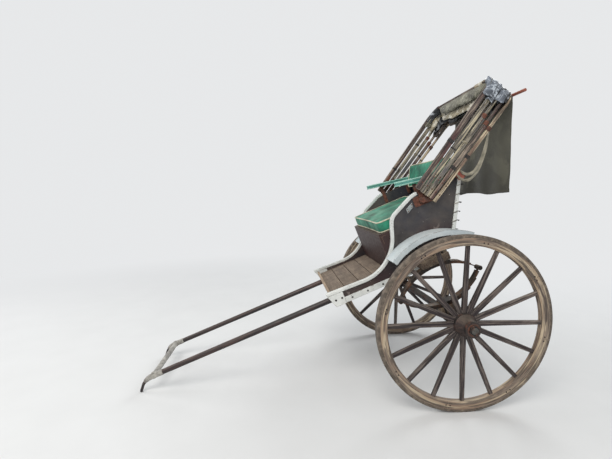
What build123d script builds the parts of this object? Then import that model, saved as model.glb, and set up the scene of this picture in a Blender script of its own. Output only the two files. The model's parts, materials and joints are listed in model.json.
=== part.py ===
"""Hand-pulled rickshaw, parked nose-down with its two shaft tips on the floor.

Every outline is drawn in the cart's own level frame, as it stands when it is pulled:
x forward from the axle, y to the left, z up from the axle. The planes side(), deck() and
across() carry those outlines into the parked position. Sizes are in millimetres.
"""
from math import asin, atan2, cos, degrees, hypot, radians, sin, tan
import os

from build123d import *

os.makedirs("parts", exist_ok=True)

# Clearances
FIT = 0.1           # between wooden pieces joined for good
SOFT = 0.3          # round cushions, pads and cloth
RUNNING = 0.06      # radial play of a wheel on its axle arm
BOARD_FIT = 2       # round the loose floor and seat boards
SIDES = (("left", 1), ("right", -1))

# Wheels
WHEEL_R = 500
TYRE_T = 18
TYRE_W = 42
TYRE_ROUND = 5
FELLOE_T = 42
FELLOE_W = 46
FELLOE_BEVEL = 6
FELLOES = 8
FELLOE_GAP = 0.2    # degrees between two felloes
SPOKES = 16
SPOKE_HUB = (30, 24)        # along the rim, along the axle
SPOKE_RIM = (23, 18)
SPOKE_ROUND = 5
DISH = 14           # the spokes' feet stand this far inboard of the rim
HUB_R = 60
HUB_SEAT = 50       # width of the belt that the spokes stand on
HUB_IN = 115        # nave's reach inboard and outboard of the rim
HUB_OUT = 92
HUB_END_R = 40
HUB_END = 26        # straight ends of the nave
HUB_HOLLOW = 3      # the nave's flanks curve in by this much
BAND_T = 4          # iron bands round the nave
BAND_W = 10         # beside the spokes
END_BAND_W = 20
ARM_R = 14          # axle arm inside the nave
NUT_R = 28
NUT_T = 14
ARM_END = 18        # the arm's thread outside the nave
COLLAR_GAP = 5      # between the square of the axle and the nave

# Axle and springs
AXLE_BAR = 34
SPRING_W = 45
SPRING_EYE_X = 255
LEAF_T = 6
LEAVES = 4
LEAF_STEP = 0.22    # share of the half leaf by which the next leaf is shorter
SPRING_H = 267      # from the lowest face to the highest
EYE_R = 14
EYE_PIN_R = 7
EYE_PIN_END = 4
PERCH_H = 54        # block between axle bar and spring
PERCH_L = 120
PERCH_W = 54
PERCH_FLARE = 78    # degrees, slope of the block's ends
CLIP_T = 7          # plates above and below each spring seat
CLIP_L = 80
CLIP_W = 75
CLIP_R = 5
CLIP_EDGE = 10      # from a clip's middle to the plate's end
CLIP_END = 7        # the clips' threads past the plates

# Widths across the cart, from the body outward
BODY_W = 720        # over the two side panels
SPRING_GAP = 37.5   # body to spring
HUB_GAP = 9         # spring plates to nave
WHEEL_GAP = 60.5    # mudguard to tyre

# Frame
SHAFT_Y = 245
SHAFT_R = 20
SHAFT_END_R = 16
TIP_R = 13
SHAFT_BACK = -95
SHAFT_STRAIGHT = 1825
TIP_BEND_R = 100
TIP_BEND = 50
TIP_LENGTH = 25
CROSSBAR_BACK = 10  # the bar's middle, behind the start of the bend
CROSSBAR_R = 14
RAIL_W = 30
RAIL_H = 36
RAIL_OUT = 3        # the side rails stand this far outside the panels
BODY_FRONT = 610
BOLSTER_L = 175
BOLSTER_H = 44
BOLSTER_AHEAD = 75  # of the axle
BOLSTER_OVER = 52   # beyond the spring's middle
EDGE = 3            # worn edges of the heavy timbers
FLOOR_T = 18
FLOOR_BOARDS = 4
BOARD_GAP = 4
MEMBER_L = 50

# Body; heights are above the frame's top
PANEL_T = 16
TRIM_T = 20
TRIM_OVER = 8       # mouldings stand this far outside the panels
TRIM_ROUND = 4
NOSE = 34           # the moulding runs this far ahead of the body
SWEEP_NOSE = 52
SWEEP_LOW = (393, 44)       # x, height where the curve starts to rise
SWEEP_RISE = (262, -72)     # radius and turn of each arc, length of each straight
SWEEP_POST = 78
SWEEP_TURN = (80, 47)
SWEEP_RAMP = 115
SWEEP_LEVEL = (150, 23)
BACK_TILT = 26.7    # of the seat back and of the rear rail, from upright
REAR_RAIL_W = 22
REAR_FOOT_X = -180  # rear rail's foot, at the height of the bolster's top
REAR_RAIL_H = 410
SEAT_H = 262
SEAT_FRONT = 200
SEAT_T = 15
BOX_END_L = 110     # boards that close the seat box beside its riser
BOX_END_T = 12
CUSHION_T = 76
CUSHION_ROUND = 24
CUSHION_SIDE = 8    # between cushion and panel
CUSHION_BACK = 20
BACK_T = 14
BACK_H = 522
BACK_PAD_T = 70
BACK_PAD_ROUND = 30
BACK_PAD_DROP = 12  # its top edge, below the back board's
BACK_PAD_FOOT = 20  # above the cushion
PAD_T = 34
PAD_W = 54
PAD_GAP = 3         # between arm pad and back cushion
PAD_FRONT = (0, 500)
PAD_BACK = (-345, 442)
PAD_IRON_X = (-95, -290)
PAD_IRON_W = 25
PAD_IRON_T = 5
TOE_H = 38
BLOCK_L = 66
REST_AT = 247       # blocks on the rear rails that hold the last bow, from the pivot
REST_L = 36
REST_H = 46

# Mudguards
FENDER_R = 430
FENDER_DROP = 246   # the curve's centre, below the frame's top
FENDER_T = 10
FENDER_LIP = 30
FENDER_LIP_UP = 3
FENDER_FROM = 58
FENDER_TO = 128
STAY_X = (-70, 60)  # straps under the mudguards
STAY_W = 25
STAY_T = 5
STAY_OUT = 30       # outboard of the spring's middle

# Hood
PIVOT_X = -95
PIVOT_H = 362
SLAT_T = 17
SLAT_TAPER = 0.95
SLAT_EDGE = 2.5
SLAT_FOOT = 30      # the slats start this far behind the pivot
HOOP_SEAT = 20      # the hoops' ends inside the slats
IRON_T = 3
IRON_PITCH = 3.4    # the irons lie side by side on the pin
IRON_GAP = 5        # between the body's mouldings and the innermost iron
IRON_W = 18
IRON_EYE_R = 18
IRON_TO = 170
IRON_LAP = 40       # seat of each iron on its slat
IRON_KNEE = 15      # the irons' bend, from the slat's foot
PIN_R = 8
BOSS_R = 16
BRACKET = (96, 60)
BRACKET_T = 6
PIN_NUT_R = 16
PIN_NUT_T = 8
CROWN = 814         # from the pivot to the hoops' top run
HOOP_BEND = 90
# name, angle above the rearward level, offset from the pivot, slat width, slat end, hoop radius
BOWS = (
    ("bow_1", 33.0, 69.5, 33, 734, 11),
    ("bow_2", 32.5, 34, 28, 734, 11),
    ("bow_3", 32.0, 2, 26, 592, 9),
    ("bow_4", 31.5, -28, 24, 568, 9),
    ("bow_5", 31.0, -55, 20, 552, 9),
)
FOLD_T = 9
FOLD_IN = 644
FOLD_STEP = 749
FOLD_OUT = 849
FOLD_CLEAR = 12     # between the folds and the slats, across the hood
CURTAIN_W = 690
CURTAIN_H = 570
CURTAIN_T = 6
ROD_R = 9           # stick that the curtain hangs from
ROD_ENDS = (110, 35)        # past the curtain, to the left and to the right

# Heights and places that follow from the sizes above
SPRING_Y = BODY_W / 2 + SPRING_GAP + SPRING_W / 2
RIM_Y = SPRING_Y + CLIP_W / 2 + HUB_GAP + HUB_IN
FENDER_Y = RIM_Y - TYRE_W / 2 - WHEEL_GAP
SPRING_Z = AXLE_BAR / 2 + PERCH_H
SPRING_MID = SPRING_Z + SPRING_H / 2
RAIL_TOP = SPRING_Z + SPRING_H
LEAF_SAG = SPRING_H / 2 - (LEAVES - 0.5) * LEAF_T
LEAF_R = (SPRING_EYE_X**2 + LEAF_SAG**2) / (2 * LEAF_SAG)
LEAF_TOP_R = LEAF_R - LEAF_T / 2
CLAMP_RISE = LEAF_TOP_R - (LEAF_TOP_R**2 - (CLIP_L / 2) ** 2) ** 0.5
SHAFT_Z = RAIL_TOP - SHAFT_R
CROSSBAR_X = SHAFT_STRAIGHT - CROSSBAR_BACK
BOLSTER_TOP = RAIL_TOP + BOLSTER_H
BOLSTER_FRONT = BOLSTER_AHEAD
SEAT_Z = RAIL_TOP + SEAT_H
BACK_TOP = RAIL_TOP + BACK_H
REAR_RAIL_TOP = RAIL_TOP + REAR_RAIL_H
FENDER_Z = RAIL_TOP - FENDER_DROP
PIVOT = (PIVOT_X, RAIL_TOP + PIVOT_H)
PANEL_Y = BODY_W / 2 - PANEL_T / 2
INSIDE = BODY_W - 2 * PANEL_T - 2 * FIT
TRIM_Y = (BODY_W - PANEL_T + TRIM_OVER) / 2
TRIM_HALF = (PANEL_T + TRIM_OVER) / 2
IRON_Y = BODY_W / 2 + TRIM_OVER + IRON_GAP
HOOD_Y = IRON_Y + len(BOWS) * IRON_PITCH    # inner face of the bows' slats
SLAT_Y = HOOD_Y + SLAT_T / 2
FOLD_Y = HOOD_Y - FOLD_CLEAR
FOLD_WIDE_Y = HOOD_Y + SLAT_T + FOLD_CLEAR

# The parked lean: the round tips and the wheels touch the same floor
BEND_END_X = SHAFT_STRAIGHT + TIP_BEND_R * sin(radians(TIP_BEND))
BEND_END_Z = SHAFT_Z - TIP_BEND_R * (1 - cos(radians(TIP_BEND)))
TIP_X = BEND_END_X + TIP_LENGTH * cos(radians(TIP_BEND))
TIP_Z = BEND_END_Z - TIP_LENGTH * sin(radians(TIP_BEND))
LEAN = degrees(atan2(TIP_Z, TIP_X) + asin((WHEEL_R - TIP_R) / hypot(TIP_X, TIP_Z)))
FORWARD = (cos(radians(LEAN)), 0, -sin(radians(LEAN)))
UP = (sin(radians(LEAN)), 0, cos(radians(LEAN)))
TIP_REACH = TIP_X * FORWARD[0] + TIP_Z * UP[0] + TIP_R
AXLE_X = (WHEEL_R - TIP_REACH) / 2  # puts the origin at the middle of the footprint


def cart_point(x, y, z):
    """A point of the level cart, in the parked position."""
    return (AXLE_X + x * FORWARD[0] + z * UP[0], y, WHEEL_R + x * FORWARD[2] + z * UP[2])


def side(y):
    """Plane for side outlines: x forward, y up."""
    return Plane(origin=cart_point(0, y, 0), x_dir=FORWARD, z_dir=(0, -1, 0))


def deck(z):
    """Plane level with the floor boards: x forward, y to the left."""
    return Plane(origin=cart_point(0, 0, z), x_dir=FORWARD, z_dir=UP)


def across(x):
    """Plane across the cart: x to the left, y up."""
    return Plane(origin=cart_point(x, 0, 0), x_dir=(0, 1, 0), z_dir=FORWARD)


def finish(part, name):
    """Label a finished piece and write its file."""
    part.label = name
    export_step(part, f"parts/{name}.step")


# Wheels: rubber tyre, eight felloes, dished spokes and a turned nave with its iron bands
def wheel_plane(s, turn=0):
    """Half section of a wheel: x along the radius, y outboard."""
    along = Vector(cos(radians(turn)), 0, sin(radians(turn)))
    across_wheel = Vector(0, s, 0)
    return Plane(
        origin=(AXLE_X, s * RIM_Y, WHEEL_R), x_dir=along, z_dir=along.cross(across_wheel)
    )


def spoke_plane(s, turn, radius, outboard):
    """Plane across one spoke: x along the rim, y along the axle."""
    along = Vector(sin(radians(turn)), 0, -cos(radians(turn)))
    origin = Vector(AXLE_X, s * (RIM_Y + outboard), WHEEL_R) + along * radius
    return Plane(origin=origin, x_dir=(cos(radians(turn)), 0, sin(radians(turn))), z_dir=along)


FELLOE_OUT = WHEEL_R - TYRE_T - FIT
FELLOE_IN = WHEEL_R - TYRE_T - FELLOE_T
SEAT_IN = -DISH - HUB_SEAT / 2      # edges of the belt under the spokes
SEAT_OUT = -DISH + HUB_SEAT / 2
FLANK_R = (HUB_END_R + HUB_R) / 2 - HUB_HOLLOW
for name, s in SIDES:
    spin = Axis((AXLE_X, s * RIM_Y, WHEEL_R), (0, 1, 0))

    with BuildPart() as tyre:
        with BuildSketch(wheel_plane(s)):
            with Locations((WHEEL_R - TYRE_T / 2, 0)):
                Rectangle(TYRE_T, TYRE_W)
            fillet(vertices().group_by(Axis.X)[-1], TYRE_ROUND)
        revolve(axis=spin)
    finish(tyre.part, f"tyre_{name}")

    with BuildPart() as felloes:
        for n in range(FELLOES):
            joint = (n + 1) * 360 / FELLOES + 180 / SPOKES
            with BuildSketch(wheel_plane(s, joint - FELLOE_GAP / 2)):
                with Locations(((FELLOE_IN + FELLOE_OUT) / 2, 0)):
                    Rectangle(FELLOE_OUT - FELLOE_IN, FELLOE_W)
                chamfer(vertices().group_by(Axis.X)[0], FELLOE_BEVEL)
            revolve(axis=spin, revolution_arc=360 / FELLOES - FELLOE_GAP)
    finish(felloes.part, f"felloes_{name}")

    with BuildPart() as spokes:
        for k in range(SPOKES):
            turn = k * 360 / SPOKES
            with BuildSketch(spoke_plane(s, turn, HUB_R - SPOKE_HUB[0] / 4, -DISH)):
                RectangleRounded(*SPOKE_HUB, SPOKE_ROUND)
            with BuildSketch(spoke_plane(s, turn, FELLOE_IN + SPOKE_RIM[0] / 4, 0)):
                RectangleRounded(*SPOKE_RIM, SPOKE_ROUND)
            loft()
        with BuildSketch(wheel_plane(s)):
            with Locations(((HUB_R + FELLOE_IN) / 2, 0)):
                Rectangle(FELLOE_IN - HUB_R - 2 * FIT, 2 * (HUB_IN + HUB_OUT))
        revolve(axis=spin, mode=Mode.INTERSECT)
    finish(spokes.part, f"spokes_{name}")

    with BuildPart() as nave:
        with BuildSketch(wheel_plane(s)):
            with BuildLine():
                bore = ARM_R + RUNNING
                l1 = Line((bore, -HUB_IN), (HUB_END_R, -HUB_IN))
                l2 = Line(l1 @ 1, (HUB_END_R, HUB_END - HUB_IN))
                l3 = ThreePointArc(
                    l2 @ 1, (FLANK_R, (SEAT_IN + HUB_END - HUB_IN) / 2), (HUB_R, SEAT_IN)
                )
                l4 = Line(l3 @ 1, (HUB_R, SEAT_OUT))
                l5 = ThreePointArc(
                    l4 @ 1, (FLANK_R, (SEAT_OUT + HUB_OUT - HUB_END) / 2), (HUB_END_R, HUB_OUT - HUB_END)
                )
                l6 = Line(l5 @ 1, (HUB_END_R, HUB_OUT))
                l7 = Line(l6 @ 1, (bore, HUB_OUT))
                Line(l7 @ 1, l1 @ 0)
            make_face()
        revolve(axis=spin)
    finish(nave.part, f"hub_{name}")

    with BuildPart() as bands:
        # radius inside, width, middle
        for inner, wide, at in (
            (HUB_END_R, END_BAND_W, END_BAND_W / 2 - HUB_IN),
            (HUB_R, BAND_W, SEAT_IN + BAND_W / 2),
            (HUB_R, BAND_W, SEAT_OUT - BAND_W / 2),
            (HUB_END_R, END_BAND_W, HUB_OUT - END_BAND_W / 2),
        ):
            with BuildSketch(wheel_plane(s)):
                with Locations((inner + FIT + BAND_T / 2, at)):
                    Rectangle(BAND_T, wide)
            revolve(axis=spin)
    finish(bands.part, f"hub_bands_{name}")

# Axle: square bar between the springs, round arms through the naves
ARM_IN = RIM_Y - HUB_IN - COLLAR_GAP
ARM_OUT = RIM_Y + HUB_OUT + ARM_END
with BuildPart() as axle:
    with BuildSketch(side(0)):
        Rectangle(AXLE_BAR, AXLE_BAR)
    extrude(amount=ARM_IN, both=True)
    with BuildSketch(side(0)):
        Circle(ARM_R)
    extrude(amount=ARM_OUT, both=True)
finish(axle.part, "axle")

with BuildPart() as axle_nuts:
    for name, s in SIDES:
        with BuildSketch(side(s * (RIM_Y + HUB_OUT + SOFT + NUT_T / 2))):
            RegularPolygon(NUT_R, 6)
            Circle(ARM_R + FIT, mode=Mode.SUBTRACT)
        extrude(amount=NUT_T / 2, both=True)
finish(axle_nuts.part, "axle_nuts")

with BuildPart() as perches:
    for name, s in SIDES:
        with BuildSketch(side(s * SPRING_Y)):
            with Locations((0, AXLE_BAR / 2 + PERCH_H / 2)):
                Trapezoid(PERCH_L, PERCH_H, PERCH_FLARE)
        extrude(amount=PERCH_W / 2, both=True)
finish(perches.part, "axle_blocks")

CLAMP_Z = SPRING_Z + LEAVES * LEAF_T + CLAMP_RISE + FIT
CLIP_Y = CLIP_W / 2 - CLIP_R - FIT
with BuildPart() as clips:
    for name, s in SIDES:
        for under in (-AXLE_BAR / 2 - CLIP_T - FIT, CLAMP_Z):
            with BuildSketch(deck(under)):
                with Locations((0, s * SPRING_Y)):
                    Rectangle(CLIP_L, CLIP_W)
            extrude(amount=CLIP_T)
        with BuildSketch(deck(-AXLE_BAR / 2 - CLIP_T - CLIP_END)):
            with Locations((0, s * SPRING_Y)):
                with GridLocations(CLIP_L - 2 * CLIP_EDGE, 2 * CLIP_Y, 2, 2):
                    Circle(CLIP_R)
        extrude(amount=CLAMP_Z + AXLE_BAR / 2 + 2 * (CLIP_T + CLIP_END))
finish(clips.part, "spring_clips")

# Full elliptic springs: stepped leaves, knuckled eyes and one bolt through each pair
KNUCKLE = SPRING_W / 3
EYES = ((-SPRING_EYE_X, SPRING_MID), (SPRING_EYE_X, SPRING_MID))
HALF_TURN = degrees(asin(SPRING_EYE_X / LEAF_R))

# name, upward sense, and where the knuckles of the other half need room across the leaf
for half, up, room in (("springs_upper", 1, (0,)), ("springs_lower", -1, (-KNUCKLE, KNUCKLE))):
    centre_z = SPRING_MID + up * (LEAF_SAG - LEAF_R)
    with BuildPart() as springs:
        for name, s in SIDES:
            for n in range(LEAVES):
                reach = HALF_TURN * (1 - LEAF_STEP * n)
                with BuildSketch(side(s * SPRING_Y)):
                    with BuildLine():
                        CenterArc((0, centre_z), LEAF_R + n * LEAF_T, 90 * up - reach, 2 * reach)
                    trace(line_width=LEAF_T)
                extrude(amount=SPRING_W / 2, both=True)
            with BuildSketch(side(s * SPRING_Y)):
                with Locations(*EYES):
                    Circle(EYE_R)
            extrude(amount=SPRING_W / 2, both=True)
            for shift in room:
                with BuildSketch(side(s * SPRING_Y + shift)):
                    with Locations(*EYES):
                        Circle(EYE_R + LEAF_T)
                extrude(amount=KNUCKLE / 2 + FIT, both=True, mode=Mode.SUBTRACT)
            with BuildSketch(side(s * SPRING_Y)):
                with Locations(*EYES):
                    Circle(EYE_PIN_R + FIT)
            extrude(amount=SPRING_W, both=True, mode=Mode.SUBTRACT)
    finish(springs.part, half)

with BuildPart() as spring_bolts:
    for name, s in SIDES:
        with BuildSketch(side(s * SPRING_Y)):
            with Locations(*EYES):
                Circle(EYE_PIN_R)
        extrude(amount=SPRING_W / 2 + EYE_PIN_END, both=True)
finish(spring_bolts.part, "spring_bolts")

# Shafts: tapered poles that curve down to round tips
for name, s in SIDES:
    with BuildPart() as shaft:
        with BuildSketch(across(SHAFT_BACK)):
            with Locations((s * SHAFT_Y, SHAFT_Z)):
                Circle(SHAFT_R)
        with BuildSketch(across(SHAFT_STRAIGHT)):
            with Locations((s * SHAFT_Y, SHAFT_Z)):
                Circle(SHAFT_END_R)
        loft()
        with BuildLine(side(s * SHAFT_Y)):
            JernArc((SHAFT_STRAIGHT, SHAFT_Z), (1, 0), TIP_BEND_R, -TIP_BEND)
        with BuildSketch(across(SHAFT_STRAIGHT)):
            with Locations((s * SHAFT_Y, SHAFT_Z)):
                Circle(SHAFT_END_R)
        sweep()
        along = Vector(*FORWARD) * cos(radians(TIP_BEND)) - Vector(*UP) * sin(radians(TIP_BEND))
        bend_end = Plane(
            origin=cart_point(BEND_END_X, s * SHAFT_Y, BEND_END_Z), x_dir=(0, 1, 0), z_dir=along
        )
        with BuildSketch(bend_end):
            Circle(SHAFT_END_R)
        with BuildSketch(bend_end.offset(TIP_LENGTH)):
            Circle(TIP_R)
        loft()
        with Locations(cart_point(TIP_X, s * SHAFT_Y, TIP_Z)):
            Sphere(TIP_R)
    finish(shaft.part, f"shaft_{name}")


def shaft_radius(x):
    """Radius of the tapered pole at x."""
    share = (x - SHAFT_BACK) / (SHAFT_STRAIGHT - SHAFT_BACK)
    return SHAFT_R + share * (SHAFT_END_R - SHAFT_R)


with BuildPart() as crossbar:
    with BuildSketch(side(0)):
        with Locations((CROSSBAR_X, SHAFT_Z)):
            Circle(CROSSBAR_R)
    extrude(amount=SHAFT_Y, both=True)
    with BuildSketch(across(CROSSBAR_X)):
        with Locations((SHAFT_Y, SHAFT_Z), (-SHAFT_Y, SHAFT_Z)):
            Circle(shaft_radius(CROSSBAR_X - 2 * CROSSBAR_R) + FIT)
    extrude(amount=2 * CROSSBAR_R, both=True, mode=Mode.SUBTRACT)
finish(crossbar.part, "crossbar")

# Frame under the body
RAIL_IN = BODY_W / 2 - RAIL_W + RAIL_OUT
BLOCK_BACK = BODY_FRONT - BLOCK_L
with BuildPart() as side_rails:
    for name, s in SIDES:
        with BuildSketch(deck(RAIL_TOP)):
            with Locations(((BLOCK_BACK + SHAFT_BACK) / 2, s * (RAIL_IN + RAIL_W / 2))):
                Rectangle(BLOCK_BACK - SHAFT_BACK - 2 * FIT, RAIL_W)
        extrude(amount=-RAIL_H)
    fillet(side_rails.edges(), EDGE)
finish(side_rails.part, "side_rails")

with BuildPart() as bolster:
    with BuildSketch(side(0)):
        with Locations((BOLSTER_FRONT - BOLSTER_L / 2, RAIL_TOP + BOLSTER_H / 2)):
            Rectangle(BOLSTER_L, BOLSTER_H)
    extrude(amount=SPRING_Y + BOLSTER_OVER, both=True)
    fillet(bolster.edges(), EDGE)
finish(bolster.part, "bolster")

with BuildPart() as members:
    for x in (BLOCK_BACK - MEMBER_L, BOLSTER_FRONT + MEMBER_L):
        with BuildSketch(deck(RAIL_TOP)):
            with Locations((x, 0)):
                Rectangle(MEMBER_L, 2 * (RAIL_IN - FIT))
        extrude(amount=-RAIL_H)
    with BuildSketch(across(0)):
        with Locations((SHAFT_Y, SHAFT_Z), (-SHAFT_Y, SHAFT_Z)):
            Circle(SHAFT_R + FIT)
    extrude(amount=BODY_FRONT + MEMBER_L, mode=Mode.SUBTRACT)
finish(members.part, "cross_members")

BOARDS_FROM = SEAT_FRONT + SEAT_T + BOARD_FIT
BOARD_RUN = BODY_FRONT - BOARDS_FROM
BOARD_W = BOARD_RUN / FLOOR_BOARDS - BOARD_GAP
with BuildPart() as floor_boards:
    with BuildSketch(deck(RAIL_TOP)):
        with Locations((BOARDS_FROM + BOARD_RUN / 2, 0)):
            with GridLocations(BOARD_W + BOARD_GAP, 0, FLOOR_BOARDS, 1):
                Rectangle(BOARD_W, INSIDE)
    extrude(amount=FLOOR_T)
finish(floor_boards.part, "floor_boards")

# Side panels with the curved top edge, and the moulding that caps it
SLOPE = tan(radians(BACK_TILT))
NOSE_TOP = (BODY_FRONT + NOSE, RAIL_TOP + SWEEP_NOSE)


def sweep_line():
    """The body's curved top edge, from the front corner back to the hood's pivot."""
    front = Line(NOSE_TOP, (SWEEP_LOW[0], RAIL_TOP + SWEEP_LOW[1]))
    rise = JernArc(front @ 1, (-1, 0), *SWEEP_RISE)
    post = PolarLine(rise @ 1, SWEEP_POST, direction=rise % 1)
    turn = JernArc(post @ 1, post % 1, *SWEEP_TURN)
    ramp = PolarLine(turn @ 1, SWEEP_RAMP, direction=turn % 1)
    level = JernArc(ramp @ 1, ramp % 1, *SWEEP_LEVEL)
    return level


def rear_x(z):
    """Middle line of the rear rail."""
    return REAR_FOOT_X - (z - BOLSTER_TOP) * SLOPE


def rear_line(low, high):
    """The rear rail's middle line between two heights."""
    return Line((rear_x(low), low), (rear_x(high), high))


for name, s in SIDES:
    with BuildPart() as panel:
        with BuildSketch(side(s * PANEL_Y)):
            with BuildLine():
                top = sweep_line()
                Polyline(
                    top @ 1,
                    (rear_x(REAR_RAIL_TOP), REAR_RAIL_TOP),
                    (rear_x(BOLSTER_TOP), BOLSTER_TOP + FIT),
                    (BOLSTER_FRONT + FIT, BOLSTER_TOP + FIT),
                    (BOLSTER_FRONT + FIT, RAIL_TOP + FIT),
                    (NOSE_TOP[0], RAIL_TOP + FIT),
                    NOSE_TOP,
                )
            make_face()
            with BuildLine():
                sweep_line()
            trace(line_width=TRIM_T + 2 * FIT, mode=Mode.SUBTRACT)
            with BuildLine():
                rear_line(RAIL_TOP, REAR_RAIL_TOP + BOLSTER_H)
            trace(line_width=REAR_RAIL_W + 2 * FIT, mode=Mode.SUBTRACT)
            with Locations((BLOCK_BACK - FIT, RAIL_TOP)):
                Rectangle(BODY_W, BODY_W, align=(Align.MIN, Align.CENTER), mode=Mode.SUBTRACT)
        extrude(amount=PANEL_T / 2, both=True)
    finish(panel.part.solids().sort_by(SortBy.VOLUME)[-1], f"side_panel_{name}")

with BuildPart() as trims:
    for name, s in SIDES:
        with BuildSketch(side(s * TRIM_Y)):
            with BuildLine():
                sweep_line()
            trace(line_width=TRIM_T)
        extrude(amount=TRIM_HALF, both=True)
    fillet(trims.edges(), TRIM_ROUND)
finish(trims.part, "sweep_trims")

with BuildPart() as rear_rails:
    for name, s in SIDES:
        with BuildSketch(side(s * TRIM_Y)):
            with BuildLine():
                rear_line(BOLSTER_TOP, REAR_RAIL_TOP)
            trace(line_width=REAR_RAIL_W)
        extrude(amount=TRIM_HALF, both=True)
    fillet(rear_rails.edges(), TRIM_ROUND)
finish(rear_rails.part, "rear_rails")

with BuildPart() as blocks:
    for name, s in SIDES:
        with BuildSketch(side(s * TRIM_Y)):
            with BuildLine():
                Polyline(
                    NOSE_TOP,
                    (BLOCK_BACK, NOSE_TOP[1]),
                    (BLOCK_BACK, RAIL_TOP - RAIL_H),
                    (BODY_FRONT, RAIL_TOP - RAIL_H),
                    close=True,
                )
            make_face()
            with BuildLine():
                sweep_line()
            trace(line_width=TRIM_T + 2 * FIT, mode=Mode.SUBTRACT)
        extrude(amount=TRIM_HALF, both=True)
finish(Part(children=blocks.part.solids().sort_by(SortBy.VOLUME)[-2:]), "front_blocks")

with BuildPart() as toe_board:
    with BuildSketch(side(0)):
        with Locations((BODY_FRONT + BACK_T / 2, RAIL_TOP + TOE_H / 2)):
            Rectangle(BACK_T - 2 * FIT, TOE_H - 2 * FIT)
    extrude(amount=INSIDE / 2, both=True)
finish(toe_board.part, "toe_board")

# Seat
with BuildPart() as riser:
    with BuildSketch(side(0)):
        with Locations((SEAT_FRONT + SEAT_T / 2, (RAIL_TOP + SEAT_Z - SEAT_T) / 2)):
            Rectangle(SEAT_T, SEAT_Z - SEAT_T - RAIL_TOP - 2 * FIT)
    extrude(amount=INSIDE / 2, both=True)
finish(riser.part, "seat_riser")

with BuildPart() as box_ends:
    box_low = BOLSTER_TOP + SEAT_T + FIT
    for name, s in SIDES:
        with BuildSketch(side(s * INSIDE / 2)):
            with Locations((SEAT_FRONT - FIT, box_low)):
                Rectangle(BOX_END_L, SEAT_Z - SEAT_T - FIT - box_low, align=(Align.MAX, Align.MIN))
        extrude(amount=s * BOX_END_T)
finish(box_ends.part, "seat_box_ends")

with BuildPart() as box_floor:
    with BuildSketch(deck(BOLSTER_TOP)):
        with Locations(((SEAT_FRONT + REAR_FOOT_X + REAR_RAIL_W) / 2, 0)):
            Rectangle(SEAT_FRONT - REAR_FOOT_X - REAR_RAIL_W - 2 * FIT, INSIDE)
    extrude(amount=SEAT_T)
finish(box_floor.part, "seat_box_floor")

SEAT_BACK = rear_x(SEAT_Z) + REAR_RAIL_W / 2 + BACK_T + BOARD_FIT
with BuildPart() as seat_board:
    with BuildSketch(side(0)):
        with Locations(((SEAT_FRONT + SEAT_T + SEAT_BACK) / 2, SEAT_Z - SEAT_T / 2)):
            Rectangle(SEAT_FRONT + SEAT_T - SEAT_BACK, SEAT_T)
    extrude(amount=INSIDE / 2, both=True)
finish(seat_board.part, "seat_board")

with BuildPart() as cushion:
    with BuildSketch(side(0)):
        with Locations(
            ((SEAT_FRONT + SEAT_BACK + CUSHION_BACK) / 2, SEAT_Z + SOFT + CUSHION_T / 2)
        ):
            RectangleRounded(SEAT_FRONT - SEAT_BACK - CUSHION_BACK, CUSHION_T, CUSHION_ROUND)
    extrude(amount=INSIDE / 2 - CUSHION_SIDE, both=True)
finish(cushion.part, "seat_cushion")

PAD_Y = (BODY_W - PAD_W) / 2
PAD_ENDS = tuple((x, RAIL_TOP + height) for x, height in (PAD_FRONT, PAD_BACK))


def lean_plane(forward):
    """Plane along the seat back: x across to the left, y up the back, from the bolster's top."""
    up_back = Vector(*UP) * cos(radians(BACK_TILT)) - Vector(*FORWARD) * sin(radians(BACK_TILT))
    normal = Vector(0, 1, 0).cross(up_back)
    foot = Vector(*cart_point(rear_x(BOLSTER_TOP), 0, BOLSTER_TOP))
    return Plane(origin=foot + normal * forward, x_dir=(0, 1, 0), z_dir=normal)


def up_back(z):
    """Distance up the seat back at height z."""
    return (z - BOLSTER_TOP) / cos(radians(BACK_TILT))


with BuildPart() as back_board:
    with BuildSketch(lean_plane(REAR_RAIL_W / 2 - BACK_T)):
        with Locations((0, up_back(BACK_TOP) / 2)):
            RectangleRounded(INSIDE, up_back(BACK_TOP) - 2 * BACK_T, 2 * BACK_T)
    extrude(amount=BACK_T)
finish(back_board.part, "back_board")

with BuildPart() as back_pad:
    with BuildSketch(lean_plane(REAR_RAIL_W / 2 + SOFT)):
        low = up_back(SEAT_Z + CUSHION_T + BACK_PAD_FOOT)
        high = up_back(BACK_TOP - BACK_PAD_DROP)
        with Locations((0, (low + high) / 2)):
            RectangleRounded(2 * (PAD_Y - PAD_W / 2 - PAD_GAP), high - low, BACK_PAD_ROUND)
    extrude(amount=BACK_PAD_T)
finish(back_pad.part, "back_cushion")

# Padded arm rests on their brackets
with BuildPart() as arm_pads:
    for name, s in SIDES:
        with BuildSketch(side(s * PAD_Y)):
            with BuildLine():
                Line(*PAD_ENDS)
            trace(line_width=PAD_T)
            with Locations(*PAD_ENDS):
                Circle(PAD_T / 2)
        extrude(amount=PAD_W / 2, both=True)
finish(arm_pads.part, "arm_pads")

PAD_SLOPE = (PAD_ENDS[0][1] - PAD_ENDS[1][1]) / (PAD_ENDS[0][0] - PAD_ENDS[1][0])
with BuildPart() as arm_irons:
    for name, s in SIDES:
        with BuildSketch(side(s * (BODY_W / 2 - PANEL_T - FIT))):
            for x in PAD_IRON_X:
                under_pad = PAD_ENDS[0][1] + x * PAD_SLOPE
                with Locations((x, (SEAT_Z + CUSHION_T + under_pad) / 2)):
                    Rectangle(PAD_IRON_W, under_pad - SEAT_Z - CUSHION_T)
            with BuildLine():
                Line(*PAD_ENDS)
            trace(line_width=PAD_T + 2 * SOFT, mode=Mode.SUBTRACT)
        extrude(amount=s * PAD_IRON_T)
finish(arm_irons.part, "arm_irons")

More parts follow.
